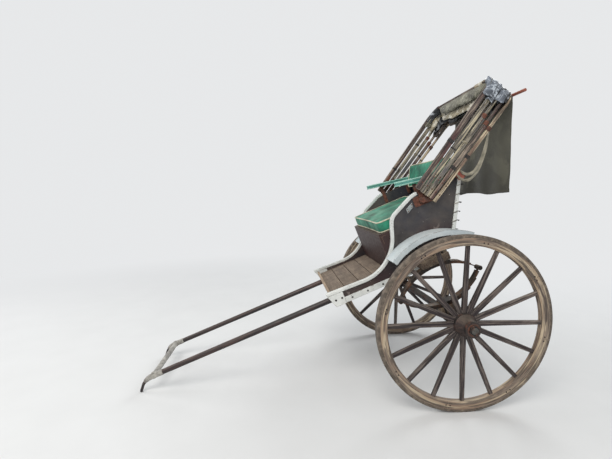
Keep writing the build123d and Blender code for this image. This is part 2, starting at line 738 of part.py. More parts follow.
# Mudguards: curved boards with a deep outer lip
GUARD_Y = BODY_W / 2 + FIT
with BuildPart() as mudguards:
    for name, s in SIDES:
        turn = FENDER_TO - FENDER_FROM
        with BuildSketch(side(s * GUARD_Y)):
            with BuildLine():
                CenterArc((0, FENDER_Z), FENDER_R - FENDER_T / 2, FENDER_FROM, turn)
            trace(line_width=FENDER_T)
        extrude(amount=-s * (FENDER_Y - GUARD_Y))
        with BuildSketch(side(s * (FENDER_Y - FENDER_T))):
            with BuildLine():
                CenterArc((0, FENDER_Z), FENDER_R + FENDER_LIP_UP - FENDER_LIP / 2, FENDER_FROM, turn)
            trace(line_width=FENDER_LIP)
        extrude(amount=-s * FENDER_T)
        with BuildSketch(side(s * BODY_W / 2)):
            with BuildLine():
                sweep_line()
            trace(line_width=TRIM_T + 2 * FIT)
            with BuildLine():
                rear_line(RAIL_TOP, REAR_RAIL_TOP)
            trace(line_width=REAR_RAIL_W + 2 * FIT)
        extrude(amount=-s * (TRIM_OVER + FIT), mode=Mode.SUBTRACT)
finish(mudguards.part, "mudguards")

STAY_Y = SPRING_Y + STAY_OUT
with BuildPart() as stays:
    for name, s in SIDES:
        for x in STAY_X:
            top = FENDER_Z + ((FENDER_R - FENDER_T) ** 2 - (abs(x) + STAY_T) ** 2) ** 0.5 - FIT
            with BuildSketch(across(x)):
                with Locations((s * STAY_Y, (BOLSTER_TOP + top) / 2)):
                    Rectangle(STAY_W, top - BOLSTER_TOP)
            extrude(amount=STAY_T / 2, both=True)
finish(stays.part, "mudguard_stays")


# Folded hood: five bows on one pin at each side
def bow_axes(angle):
    """Directions along a bow's slats and square to them, towards the hood's outside."""
    along = Vector(*UP) * sin(radians(angle)) - Vector(*FORWARD) * cos(radians(angle))
    square = Vector(*FORWARD) * sin(radians(angle)) + Vector(*UP) * cos(radians(angle))
    return along, square


def bow_frame(angle, offset, y):
    """Side plane of one bow: x along its slat from the pivot, y to its upper side."""
    along, square = bow_axes(angle)
    origin = Vector(*cart_point(PIVOT[0], y, PIVOT[1])) + square * offset
    return Plane(origin=origin, x_dir=along, z_dir=(0, 1, 0))


def bow_deck(angle, offset):
    """Plane in which one bow lies: x along its slats from the pivot, y to the right."""
    along, square = bow_axes(angle)
    origin = Vector(*cart_point(PIVOT[0], 0, PIVOT[1])) + square * offset
    return Plane(origin=origin, x_dir=along, z_dir=square)


for n, (name, angle, offset, wide, slat_end, hoop_r) in enumerate(BOWS):
    narrow = wide * SLAT_TAPER
    hoop_from = slat_end - HOOP_SEAT
    with BuildPart() as bow:
        for side_name, s in SIDES:
            with BuildSketch(bow_frame(angle, offset, s * SLAT_Y)):
                with BuildLine():
                    Polyline(
                        (SLAT_FOOT, -wide / 2),
                        (slat_end, -narrow / 2),
                        (slat_end, narrow / 2),
                        (SLAT_FOOT, wide / 2),
                        close=True,
                    )
                make_face()
                fillet(vertices().sort_by(Axis.X)[:2], wide / 4)
            extrude(amount=SLAT_T / 2, both=True)
        fillet(bow.faces().filter_by(Axis.Y).edges(), SLAT_EDGE)
        plane = bow_deck(angle, offset)
        with BuildLine(plane):
            FilletPolyline(
                (hoop_from, -SLAT_Y),
                (CROWN, -SLAT_Y),
                (CROWN, SLAT_Y),
                (hoop_from, SLAT_Y),
                radius=HOOP_BEND,
            )
        hoop_start = plane.from_local_coords((hoop_from, -SLAT_Y, 0))
        with BuildSketch(Plane(origin=hoop_start, x_dir=(0, 1, 0), z_dir=plane.x_dir)):
            Circle(hoop_r)
        sweep()
    finish(bow.part, name)

    inner = IRON_Y + n * IRON_PITCH
    with BuildPart() as irons:
        for side_name, s in SIDES:
            with BuildSketch(bow_frame(angle, offset, s * (inner + IRON_T / 2))):
                with BuildLine():
                    Polyline((0, -offset), (SLAT_FOOT + IRON_KNEE, 0), (IRON_TO, 0))
                trace(line_width=IRON_W)
                with Locations((0, -offset)):
                    Circle(IRON_EYE_R)
                with Locations((IRON_TO, 0)):
                    Circle(IRON_W / 2)
                with Locations((0, -offset)):
                    Circle(PIN_R + RUNNING, mode=Mode.SUBTRACT)
            extrude(amount=IRON_T / 2, both=True)
            with BuildSketch(bow_frame(angle, offset, s * inner)):
                with Locations((IRON_TO - IRON_LAP / 2, 0)):
                    Rectangle(IRON_LAP, IRON_W)
            extrude(amount=s * (HOOD_Y - inner))
    finish(irons.part, f"{name}_irons")

with BuildPart() as brackets:
    for side_name, s in SIDES:
        with BuildSketch(side(s * GUARD_Y)):
            with Locations(PIVOT):
                RectangleRounded(*BRACKET, BRACKET[1] / 6)
        extrude(amount=-s * (BRACKET_T - FIT))
        with BuildSketch(side(s * GUARD_Y)):
            with Locations(PIVOT):
                Circle(BOSS_R)
        extrude(amount=-s * (IRON_Y - GUARD_Y - SOFT))
        with BuildSketch(side(s * BODY_W / 2)):
            with Locations(PIVOT):
                Circle(PIN_R)
        extrude(amount=-s * (HOOD_Y - BODY_W / 2 + PIN_NUT_T))
        with BuildSketch(side(s * HOOD_Y)):
            with Locations(PIVOT):
                RegularPolygon(PIN_NUT_R, 6)
        extrude(amount=-s * PIN_NUT_T)
finish(brackets.part, "hood_brackets")

with BuildPart() as rests:
    name, angle, offset, wide, slat_end, hoop_r = BOWS[-1]
    rest_y = BODY_W / 2 + TRIM_OVER
    rest_share = (REST_AT - REST_L / 2 - SLAT_FOOT) / (slat_end - SLAT_FOOT)
    drop = wide / 2 * (1 - (1 - SLAT_TAPER) * rest_share) + FIT
    for side_name, s in SIDES:
        with BuildSketch(bow_frame(angle, offset - drop, s * rest_y)):
            with Locations((REST_AT, -REST_H / 2)):
                Rectangle(REST_L, REST_H)
        extrude(amount=s * (HOOD_Y + SLAT_T - rest_y))
finish(rests.part, "hood_rests")

# Gathered hood cloth, one fold under each moving hoop, and the rear curtain on its stick
for n, (name, angle, offset, wide, slat_end, hoop_r) in enumerate(BOWS[:-1]):
    with BuildPart() as fold:
        with BuildSketch(bow_deck(angle, offset - hoop_r - SOFT)):
            with Locations(((FOLD_IN + FOLD_OUT) / 2, 0)):
                Rectangle(FOLD_OUT - FOLD_IN, 2 * FOLD_Y)
            with Locations(((FOLD_STEP + FOLD_OUT) / 2, 0)):
                Rectangle(FOLD_OUT - FOLD_STEP, 2 * FOLD_WIDE_Y)
        extrude(amount=-FOLD_T)
    finish(fold.part, f"cover_fold_{n + 1}")

name, angle, offset, wide, slat_end, hoop_r = BOWS[-1]
crown = bow_deck(angle, offset).from_local_coords((CROWN, 0, 0))
rod = (crown.X - hoop_r - SOFT - ROD_R, crown.Z)
with BuildPart() as curtain_rod:
    for s, end in zip((1, -1), ROD_ENDS):
        with BuildSketch(Plane(origin=(rod[0], 0, rod[1]), x_dir=(1, 0, 0), z_dir=(0, s, 0))):
            Circle(ROD_R)
        extrude(amount=CURTAIN_W / 2 + end)
finish(curtain_rod.part, "curtain_rod")

with BuildPart() as curtain:
    hung_from = (rod[0], 0, rod[1] - ROD_R - SOFT)
    with BuildSketch(Plane(origin=hung_from, x_dir=(0, 1, 0), z_dir=(1, 0, 0))):
        with Locations((0, -CURTAIN_H / 2)):
            Rectangle(CURTAIN_W, CURTAIN_H)
    extrude(amount=CURTAIN_T / 2, both=True)
finish(curtain.part, "rear_curtain")
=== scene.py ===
"""Looks of the parked hand-pulled rickshaw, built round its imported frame."""
import json
import random
from collections import namedtuple
from math import atanh, ceil, copysign, cos, cosh, exp, hypot, pi, radians, sin, sinh, sqrt

import bmesh
import bpy
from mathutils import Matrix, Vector, noise


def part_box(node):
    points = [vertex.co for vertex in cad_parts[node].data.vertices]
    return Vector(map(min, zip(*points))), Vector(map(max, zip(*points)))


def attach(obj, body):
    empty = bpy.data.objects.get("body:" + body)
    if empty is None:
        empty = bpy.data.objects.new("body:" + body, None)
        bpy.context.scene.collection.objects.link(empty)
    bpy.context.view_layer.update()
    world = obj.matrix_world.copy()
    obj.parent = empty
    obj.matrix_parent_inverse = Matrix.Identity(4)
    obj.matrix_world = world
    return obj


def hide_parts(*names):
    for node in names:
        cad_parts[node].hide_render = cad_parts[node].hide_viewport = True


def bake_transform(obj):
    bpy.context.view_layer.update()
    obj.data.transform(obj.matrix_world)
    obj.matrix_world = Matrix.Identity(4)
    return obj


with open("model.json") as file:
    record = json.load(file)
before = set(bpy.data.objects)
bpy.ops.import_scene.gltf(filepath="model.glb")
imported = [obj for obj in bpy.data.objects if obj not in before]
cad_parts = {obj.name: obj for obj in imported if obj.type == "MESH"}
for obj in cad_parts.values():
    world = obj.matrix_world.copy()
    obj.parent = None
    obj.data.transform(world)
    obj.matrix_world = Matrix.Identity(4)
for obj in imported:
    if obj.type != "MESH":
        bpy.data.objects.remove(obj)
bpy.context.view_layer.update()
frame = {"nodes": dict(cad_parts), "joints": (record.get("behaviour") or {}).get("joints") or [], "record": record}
scene = bpy.context.scene
record = frame["record"]
MOUNTS = {m["name"]: m for m in record["mounts"]}
JOINTS = {j["name"]: j for j in frame["joints"]}
SIDES = (("left", 1), ("right", -1))
MM = 0.001

# The level cart's directions and its axle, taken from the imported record
FORWARD = Vector(MOUNTS["pulling_bar"]["axis"])
UP = Vector(MOUNTS["floor_deck"]["axis"])
LEFT = Vector((0, 1, 0))
PLUMB = Vector((0, 0, 1))
AXLE = Vector(JOINTS["wheel_left_spin"]["pos_m"])
RIM_Y = AXLE.y
AXLE.y = 0
PIVOT = Vector(JOINTS["hood_bow_4"]["pos_m"])
BAR = Vector(MOUNTS["pulling_bar"]["pos_m"])

# Sizes shared with the part's source, in millimetres, measured from the axle of the level cart
RAIL_TOP = 338
BOLSTER_TOP = 382
FLOOR_T = 18
FLOOR_BACK = 217
BOARD = 98          # a floor board's width
SEAT_Z = 600
BODY_Y = 360
BODY_FRONT = 650
REAR_FOOT_X = -180  # foot of the rear rails and of the back, at the bolster's top
RAIL_LEAN = 0.503   # the rails' run rearward for their rise
BACK_TILT = radians(26.7)
HUB_OUT = 92        # the nave's reach outboard of the rim
FELLOE_MID = 461    # radius at which the felloes are joined
FELLOE_FACE = 23
BAND_IN = 34        # the inner band's middle, inboard of the rim
BAND_R = 64.1
SHAFT_Y = 245
SHAFT_Z = 318
SHAFT_BACK = -95
SHAFT_STRAIGHT = 1825
SHAFT_R = 20
SHAFT_END_R = 16
BAR_R = 14.2
TIP_BEND_R = 100
TIP_BEND = radians(50)
SLAT_Y = 398.5
SLAT_OUT = 407
SLAT_FOOT = 30
SLAT_TAPER = 0.95
SLAT_T = 17
CROWN = 814
HOOP_BEND = 90
# Angles are above the rearward level, offsets square to the slats from the pivot
Bow = namedtuple("Bow", "body angle offset wide slat_end hoop_r")
BOWS = [Bow(*row) for row in (
    ("bow_1", 33, 69.5, 33, 734, 11),
    ("bow_2", 32.5, 34, 28, 734, 11),
    ("bow_3", 32, 2, 26, 592, 9),
    ("bow_4", 31.5, -28, 24, 568, 9),
    ("cart", 31, -55, 20, 552, 9),
)]
SLATS = UP * sin(radians(32)) - FORWARD * cos(radians(32))

# Sizes of what only the looks have
TIP_R = 8.5         # of the shafts' worn ends
SLIM_FROM = 1810    # the shafts get slimmer from here
SLIM_OVER = 105
TAPED = range(1752, 1881, 2)    # lengths of the shafts under tape
HOOD_FROM = 594     # the hood cloth's edges, from the pivot
STRAP = 17


def at(x, y, z):
    """A point of the level cart, in millimetres from the axle, in the parked position."""
    return AXLE + (FORWARD * x + LEFT * y + UP * z) * MM


def bow_point(k, along, y, square=0):
    """A point on bow k: along its slats from the pivot, across the hood, square to its plane."""
    a = radians(BOWS[k].angle)
    d = UP * sin(a) - FORWARD * cos(a)
    n = FORWARD * sin(a) + UP * cos(a)
    return PIVOT + (d * along + n * (BOWS[k].offset + square) + LEFT * y) * MM


def ripple(x, y=0, z=0):
    """Smooth noise, above and below 0."""
    return noise.noise(Vector((x, y, z)))


def ridge(x, y, z):
    """Sharp-crested noise, as crumpled tarpaulin shows."""
    return 1 - 2.6 * abs(ripple(x, y, z))


def put(thing, **props):
    """Sets properties of a node, a modifier or a lamp."""
    for key, value in props.items():
        setattr(thing, key, value)


# Materials
def linear(colour, share=1):
    """A colour written as #rrggbb, or a darker share of it, as Blender's linear colour."""
    shown = [int(colour[n:n + 2], 16) / 255 for n in (1, 3, 5)]
    return (*(share * (c / 12.92 if c <= 0.04045 else ((c + 0.055) / 1.055) ** 2.4) for c in shown), 1)


DUST = "#9e8f7c"
SKY = (0.80, 0.81, 0.82, 1)


class Shade:
    """Writes the nodes of a material, or of the world, as nested calls."""

    def __init__(self, name="look", world=False):
        self.made = (bpy.data.worlds if world else bpy.data.materials).new(name)
        self.made.use_nodes = True
        self.tree = self.made.node_tree
        self.tree.nodes.clear()
        self.out = self.tree.nodes.new("ShaderNodeOutputWorld" if world else "ShaderNodeOutputMaterial")

    def add(self, kind, ins=(), out=0, **props):
        """A node with its settings and inputs; gives one of its outputs."""
        node = self.tree.nodes.new("ShaderNode" + kind)
        put(node, **props)
        for key, value in dict(ins).items():
            if isinstance(value, bpy.types.NodeSocket):
                self.tree.links.new(value, node.inputs[key])
            else:
                node.inputs[key].default_value = linear(value) if isinstance(value, str) else value
        return node.outputs[out]

    def close(self, shader):
        """Ends the nodes in a shader and gives the material or the world."""
        self.tree.links.new(shader, self.out.inputs[0])
        return self.made

    def math(self, op, a, b=0, clamp=False):
        return self.add("Math", {0: a, 1: b}, operation=op, use_clamp=clamp)

    def times(self, a, b):
        return self.math("MULTIPLY", a, b)

    def plus(self, a, b):
        return self.math("ADD", a, b)

    def less(self, a, b):
        return self.math("SUBTRACT", a, b)

    def dot(self, v, d):
        return self.add("VectorMath", {0: v, 1: d}, out=1, operation="DOT_PRODUCT")

    def xyz(self, x, y, z):
        return self.add("CombineXYZ", {0: x, 1: y, 2: z})

    def mix(self, share, a, b):
        return self.add("Mix", {0: share, 6: a, 7: b}, out=2, data_type="RGBA")

    def coords(self):
        return self.add("TexCoord", out=3)

    def noise(self, v, scale, detail=5, rough=0.55, w=None, distort=0):
        ins = {"Vector": v, "Scale": scale, "Detail": detail, "Roughness": rough, "Distortion": distort}
        if w is not None:
            ins["W"] = w
        return self.add("TexNoise", ins, noise_dimensions="3D" if w is None else "4D")

    def ramp(self, value, *stops):
        """Colours between stops, each given as its place and its colour."""
        node = self.tree.nodes.new("ShaderNodeValToRGB")
        elements = node.color_ramp.elements
        while len(elements) < len(stops):
            elements.new(1)
        for element, (place, there) in zip(elements, stops):
            element.position = place
            element.color = linear(there) if isinstance(there, str) else there
        self.tree.links.new(value, node.inputs[0])
        return node.outputs[0]

    def fade(self, value, low, high, start=0, end=1):
        """A number from start, up to a low value, to end, from a high one."""
        return self.ramp(value, *((place, (n, n, n, 1)) for place, n in ((low, start), (high, end))))

    def grain(self, kind, stretch=0.06):
        """Coordinates in which wood fibres run along the piece."""
        p = self.coords()
        if kind in ("rim", "spoke"):
            x = self.less(self.dot(p, (1, 0, 0)), AXLE.x)
            z = self.less(self.dot(p, PLUMB), AXLE.z)
            r = self.math("SQRT", self.plus(self.times(x, x), self.times(z, z)))
            turn, reach = (0.45 * stretch, 1) if kind == "rim" else (0.3, stretch)
            round_x, round_z = (self.times(self.math("DIVIDE", c, r), turn) for c in (x, z))
            return self.xyz(round_x, round_z, self.times(r, reach)), self.dot(p, LEFT)
        if kind == "bow":
            along, y, square = (self.dot(p, d) for d in (SLATS, LEFT, SLATS.cross(LEFT)))
            crown = self.math("LESS_THAN", self.math("ABSOLUTE", y), (SLAT_Y - 0.4 * HOOP_BEND) * MM)
            lengths = self.xyz(self.times(along, stretch), y, square)
            return self.mix(crown, lengths, self.xyz(self.times(y, stretch), along, square)), None
        d = Vector(kind).normalized()
        u = d.cross(LEFT if abs(d.y) < 0.8 else UP).normalized()
        return self.xyz(self.dot(p, d * stretch), self.dot(p, u), self.dot(p, d.cross(u))), None

    def edges(self, radius=0.004, gain=6):
        """1 on worn edges and corners, 0 on flat faces."""
        same = self.dot(self.add("Bevel", {"Radius": radius}, samples=4), self.add("NewGeometry", out=1))
        return self.math("MULTIPLY", self.less(1, same), gain, clamp=True)

    def upward(self):
        """1 where the surface faces the sky, where dust settles."""
        z = self.dot(self.add("NewGeometry", out=1), PLUMB)
        return self.add("MapRange", {0: z, 1: 0.3})

    def dusty(self, colour, share, p, scale, least=0.3, low=0.3, high=0.7):
        """A colour with uneven road dust on what faces the sky."""
        where = self.fade(self.noise(p, scale), low, high, least)
        return self.mix(self.times(self.times(self.upward(), where), share), colour, DUST)

    def bump(self, height, strength, distance):
        return self.add("Bump", {"Height": height, "Strength": strength, "Distance": distance})

    def finish(self, colour, rough, normal, metallic=0, **ins):
        """Ends the nodes in a principled shader and gives the material."""
        given = {"Base Color": colour, "Roughness": rough, "Metallic": metallic, "Normal": normal}
        given.update({k.replace("_", " "): v for k, v in ins.items()})
        return self.close(self.add("BsdfPrincipled", given))


def wood(dark, mid, light, grain=FORWARD, dust=0.35, rough=0.78, fine=150, cracks=0.6, wear=0.5, streaks=()):
    """Weathered wood: fibres, blotches, long streaks, fine cracks, pale worn edges and dust."""
    s = Shade()
    v, w = s.grain(grain)
    fibre = s.noise(v, fine, 8, 0.62, w, 0.4)
    blotch = s.noise(s.coords(), 7, 5, 0.6)
    tone = s.plus(s.times(fibre, 0.6), s.times(s.noise(v, fine * 0.16, 4, 0.5, w), 0.4))
    colour = s.ramp(tone, (0.32, dark), (0.5, mid), (0.68, light))
    colour = s.mix(s.fade(blotch, 0.4, 0.62, 0, 0.7), colour, s.mix(0.5, colour, dark))
    for n, (streak, share) in enumerate(streaks):
        lane = s.noise(v, fine * (0.36 + 0.17 * n), 3, 0.5, 4 + 5 * n if w is None else w)
        colour = s.mix(s.times(s.fade(lane, 0.52, 0.57), share), colour, streak)
    crack = s.times(s.fade(s.noise(v, fine * 0.5, 6, 0.7, w), 0.34, 0.39, 1, 0), cracks)
    colour = s.mix(crack, colour, s.mix(0.75, colour, "#120e0c"))
    worn = s.times(s.edges(), s.times(s.fade(blotch, 0.35, 0.6, 0.2, 1), wear))
    colour = s.mix(worn, colour, light)
    colour = s.dusty(colour, dust, s.coords(), 18)
    roughness = s.fade(fibre, 0.3, 0.7, rough + 0.1, rough - 0.1)
    return s.finish(colour, roughness, s.bump(s.less(fibre, crack), 0.55, 0.0015))


def paint(coat, under, bare, rough, chips, dust, grime, second=None):
    """Old brushed paint, chipped at the edges down to a darker coat and to bare wood."""
    s = Shade()
    p = s.coords()
    fleck = s.noise(p, 45, 9, 0.68)
    patch = s.noise(p, 6.5, 5, 0.6)
    stroke = s.noise(s.grain(FORWARD, 0.08)[0], 120, 3)
    tint = s.mix(s.fade(patch, 0.35, 0.65), coat, second or s.mix(0.25, coat, under))
    stain = s.noise(p, 17, 7, 0.65)
    tint = s.mix(s.times(s.fade(stain, 0.45, 0.7), grime), tint, s.mix(0.6, tint, under))
    chip = s.plus(fleck, s.times(s.edges(0.005, 7), 0.22))
    more = 0.08 * chips
    at_edge, deep = (s.fade(chip, low - more, low + 0.02 - more) for low in (0.70, 0.75))
    colour = s.mix(deep, s.mix(at_edge, tint, under), bare)
    colour = s.dusty(colour, dust, p, 22)
    height = s.less(s.times(stroke, 0.3), s.times(at_edge, 0.8))
    roughness = s.fade(fleck, 0.3, 0.7, rough - 0.08, rough + 0.15)
    return s.finish(colour, roughness, s.bump(height, 0.35, 0.0012))


def panel_paint():
    """Black paint on boards: bluish grey higher up and maroon lower down, scratched and splashed."""
    s = Shade()
    p = s.coords()
    height = s.less(s.dot(p, UP), float(AXLE.dot(UP)) + 0.44)
    cloud = s.noise(p, 5, 6, 0.62)
    # the colour turns from bluish grey higher up to maroon lower down
    low = s.fade(s.plus(s.times(height, 2.2), cloud), 0.42, 0.78, 1, 0)
    colour = s.mix(low, "#323238", "#2c181b")
    colour = s.mix(s.fade(cloud, 0.4, 0.66), colour, "#1e1b1e")
    run, _ = s.grain(FORWARD, 0.05)
    scratch = s.fade(s.noise(run, 190, 3, 0.5), 0.68, 0.71)
    mark = s.times(scratch, s.fade(s.noise(p, 11, 4), 0.48, 0.6))
    colour = s.mix(s.times(mark, 0.55), colour, "#807a74")
    colour = s.mix(s.fade(s.noise(p, 95, 2, 0.4), 0.76, 0.78), colour, "#b0aca4")
    splash = s.fade(s.noise(p, 26, 7, 0.7, None, 0.8), 0.6, 0.64)
    colour = s.mix(s.times(splash, s.times(low, 0.7)), colour, "#8c807a")
    bare = s.fade(s.plus(s.noise(p, 50, 9, 0.7), s.times(s.edges(0.005, 7), 0.2)), 0.71, 0.73)
    colour = s.mix(bare, colour, "#786452")
    film = s.fade(s.noise(p, 3.4, 7, 0.66), 0.45, 0.75)
    colour = s.mix(s.times(film, 0.22), colour, DUST)
    colour = s.mix(s.times(s.upward(), 0.3), colour, DUST)
    rough = s.fade(cloud, 0.35, 0.65, 0.36, 0.62)
    relief = s.less(s.times(s.noise(run, 40, 4), 0.5), s.plus(mark, bare))
    return s.finish(colour, rough, s.bump(relief, 0.3, 0.001))


def iron(base, rust, amount=0.5, rough=0.55, metallic=0.6, dust=0.2):
    """Iron with rust that starts in patches."""
    s = Shade()
    p = s.coords()
    cover = s.fade(s.noise(p, 14, 8, 0.66), 0.62 - 0.3 * amount, 0.74 - 0.3 * amount)
    deep = s.ramp(s.noise(p, 60, 5), (0.35, linear(rust)), (0.65, linear(rust, 0.5)))
    colour = s.mix(cover, base, deep)
    colour = s.mix(s.times(s.edges(0.003, 5), 0.35), colour, "#787068")
    colour = s.dusty(colour, dust, p, 25, 0.2)
    metal = s.times(s.less(1, cover), metallic)
    roughness = s.mix(cover, (rough,) * 3 + (1,), (0.9, 0.9, 0.9, 1))
    return s.finish(colour, roughness, s.bump(s.noise(p, 160, 6, 0.6), 0.5, 0.0008), metal)


def cloth(dark, light, rough=0.9, stains=0.5, sheen=0.3, patches=None, spots=7, worn=0.5, crease_wear_and_highlight=0):
    """Woven cloth with faded and soiled areas; patches is a second colour in worn places, also drawn as pale
    crinkle lines that are partly worn coating and partly painted highlights.
    """
    s = Shade()
    p = s.coords()
    threads = [s.add("TexWave", {"Vector": p, "Scale": 150, "Distortion": 0.6}, out=1, bands_direction=axis)
               for axis in "YZ"]
    weave = s.math("MAXIMUM", *threads)
    colour = s.mix(s.fade(s.noise(p, spots, 7, 0.6), 0.35, 0.65), dark, light)
    soil = s.noise(p, 3.1 * spots, 6, 0.7)
    colour = s.mix(s.times(s.fade(soil, 0.5, 0.7), stains), colour, "#28231c")
    if patches:
        faded = s.fade(s.noise(p, 2.2 * spots, 5, 0.6, None, 0.6), worn, worn + 0.08)
        colour = s.mix(faded, colour, patches)
        # pale crinkle lines: partly worn coating, partly painted highlights where light catches the crinkled
        # tarpaulin
        fold = s.math("ABSOLUTE", s.less(s.noise(p, 2.4 * spots, 2, 0.5, None, 0.8), 0.5))
        colour = s.mix(s.times(s.fade(fold, 0.004, 0.022, 1, 0), crease_wear_and_highlight), colour, patches)
    colour = s.mix(s.times(weave, 0.12), colour, (0, 0, 0, 1))
    return s.finish(colour, rough, s.bump(s.plus(s.times(weave, 0.5), soil), 0.3, 0.0008), Sheen_Weight=sheen)


def vinyl(base, dark, rough=0.38):
    """Grained vinyl, rubbed dull and soiled in the hollows."""
    s = Shade()
    p = s.coords()
    grain = s.add("TexVoronoi", {"Vector": p, "Scale": 420}, feature="F1")
    soil = s.noise(p, 9, 7, 0.62)
    colour = s.mix(s.fade(soil, 0.38, 0.66), base, dark)
    crack = s.fade(s.noise(p, 60, 8, 0.7, None, 1.2), 0.30, 0.36, 1, 0)
    colour = s.mix(s.times(crack, 0.5), colour, linear(dark, 0.25))
    colour = s.dusty(colour, 0.3, p, 15, 0, 0.4, 0.75)
    roughness = s.fade(soil, 0.3, 0.7, rough, rough + 0.3)
    return s.finish(colour, roughness, s.bump(s.less(s.times(grain, 0.5), crack), 0.3, 0.0006))


def rubber():
    """Solid rubber tyre, greyed by road dust."""
    s = Shade()
    p = s.coords()
    scuff = s.noise(p, 30, 8, 0.65)
    colour = s.ramp(scuff, (0.3, "#423b36"), (0.5, "#645a50"), (0.7, "#908272"))
    return s.finish(colour, 0.92, s.bump(s.noise(p, 220, 4), 0.4, 0.001))


OLD_SLAT = {"grain": "bow", "dust": 0.12, "rough": 0.8, "fine": 130, "wear": 1}
M = {
    "tyre": rubber(),
    "wheel_wood": wood("#3a312d", "#7a6c60", "#baa890", "rim", 0.3, cracks=1, wear=0.6,
        streaks=(("#c4b296", 0.75), ("#463c37", 0.85), ("#967a64", 0.5))),
    "spoke_wood": wood("#161012", "#302526", "#968a80", "spoke", 0.25, 0.72, cracks=0.5, wear=1,
        streaks=(("#766a62", 0.55), ("#1c1416", 0.8))),
    "hub_wood": wood("#1e1816", "#3a2d29", "#60483e", LEFT, 0.3, 0.6),
    "frame_wood": wood("#3e332c", "#706052", "#a08e76", LEFT, 0.4),
    "shaft_wood": wood("#0e0b0c", "#20191a", "#543a32", FORWARD, 0.08, 0.5, streaks=(("#462e28", 0.5),)),
    "floor_wood": wood("#362a24", "#58483d", "#867462", LEFT, 0.5),
    "front_wood": wood("#5c4c40", "#9e8872", "#ccba9e", LEFT, 0.3),
    "rod_wood": wood("#5c2c22", "#8e4c3c", "#b2745e", LEFT, 0.2, 0.6),
    "bow_wood": wood("#221f21", "#625e5a", "#baae94", cracks=0.95, **OLD_SLAT,
        streaks=(("#545762", 0.75), ("#c4b89a", 0.8), ("#2c2628", 0.8))),
    "dark_slat": wood("#1e191a", "#5a4e4a", "#b0a08e", cracks=0.95, **OLD_SLAT,
        streaks=(("#543634", 0.75), ("#a89886", 0.6), ("#2a2223", 0.85))),
    "tan_slat": wood("#483c36", "#96846e", "#d6c6a8", cracks=0.9, **OLD_SLAT,
        streaks=(("#70544a", 0.65), ("#d8c8aa", 0.8), ("#463c38", 0.7))),
    "white_wood": paint("#e0e1dc", "#84837c", "#705e4c", 0.45, 0.75, 0.12, 0.4, "#c8cbc8"),
    "guard_paint": paint("#d4dbdb", "#7a7e7e", "#685848", 0.4, 0.5, 0.2, 0.35, "#bac6ca"),
    "riser_board": paint("#341d1b", "#1a1212", "#685242", 0.5, 0.5, 0.2, 0.5),
    "black_board": panel_paint(),
    "black_iron": iron("#2e2b2a", "#60382a", 0.35),
    "spring_steel": iron("#3a3430", "#704e3a", 0.55, 0.6, 0.5, 0.5),
    "rusty_iron": iron("#4a3a34", "#704637", 0.75, 0.7, 0.3, 0.25),
    "plate_metal": iron("#969c9c", "#766050", 0.3, 0.5, 0.4, 0.2),
    "bright_iron": iron("#5c605d", "#503c32", 0.5, 0.45, 0.7, 0.1),
    "green_vinyl": vinyl("#2c8a6c", "#144e3e"),
    "turquoise_vinyl": vinyl("#56988c", "#2c665e"),
    "pale_vinyl": vinyl("#cecab2", "#96907a"),
    "stripe_vinyl": vinyl("#9ccaba", "#689e8e"),
    "dark_cloth": cloth("#36352c", "#525041", stains=0.3, patches="#5a5849", spots=3, worn=0.54),
    "cover_cloth": cloth("#0d0d10", "#24252a", 0.4, sheen=0, patches="#9ea2a8", worn=0.57),
    # the silver and grey covers carry pale crinkle lines, partly painted highlights
    "silver_cover": cloth("#262a30", "#868e9a", 0.42, 0.35, 0, "#c4ccd4", worn=0.6, crease_wear_and_highlight=0.75),
    "grey_cover": cloth("#4a473e", "#888574", 0.7, 0.4, 0.1, "#b2b0a0", 9, 0.6, 0.5),
    "strap_cloth": cloth("#686354", "#a49d8a", spots=12),
    "khaki_cloth": cloth("#786c54", "#b0a68a", patches="#cec8b8"),
    "pale_rag": cloth("#b2aa96", "#d8d2c4", stains=0.4, patches="#968468"),
    "brown_cloth": cloth("#3a302a", "#625448"),
    "tape": cloth("#7a7670", "#bcb8ae", 0.8, 0.7, spots=16),
    "black_rag": cloth("#1a1818", "#34302e"),
}
for look_name, look in M.items():
    look.name = look_name

slots = {p["node"]: p["material_slot"] for p in record["subparts"]}
slots.update(mudguards="guard_paint", bow_1="dark_slat", bow_4="dark_slat", bow_5="tan_slat",
             toe_board="front_wood", hood_rests="rod_wood")
for node_name, obj in frame["nodes"].items():
    obj.data.materials.clear()
    obj.data.materials.append(M[slots[node_name]])
    obj.data.shade_smooth()
    obj.data.set_sharp_from_angle(angle=radians(32))


# Mesh helpers
def piece(name, verts, faces, material, body=None):
    """A new mesh piece in metres; it rides on a body, unless that is said later."""
    mesh = bpy.data.meshes.new(name)
    mesh.from_pydata(verts, [], faces)
    mesh.materials.append(M[material])
    mesh.validate()
    obj = bpy.data.objects.new(name, mesh)
    scene.collection.objects.link(obj)
    mesh.shade_smooth()
    mesh.set_sharp_from_angle(angle=radians(40))
    if body:
        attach(obj, body)
    return obj


def modify(obj, kind, **props):
    """Adds a modifier and applies it."""
    mod = obj.modifiers.new(kind, kind)
    put(mod, **props)
    bpy.context.view_layer.objects.active = obj
    bpy.ops.object.modifier_apply(modifier=mod.name)


def thicken(obj, thick):
    """Gives a sheet its thickness, in millimetres, and returns the area that it had before."""
    area = sum(p.area for p in obj.data.polygons)
    modify(obj, "SOLIDIFY", thickness=thick * MM, offset=0)
    return area


def grid_faces(rows, cols, closed=False):
    """Quads over a grid of vertices numbered row by row; closed joins the ends of each row."""
    faces = []
    for i in range(rows - 1):
        for j in range(cols if closed else cols - 1):
            k = (j + 1) % cols
            faces.append((i * cols + j, i * cols + k, (i + 1) * cols + k, (i + 1) * cols + j))
    return faces


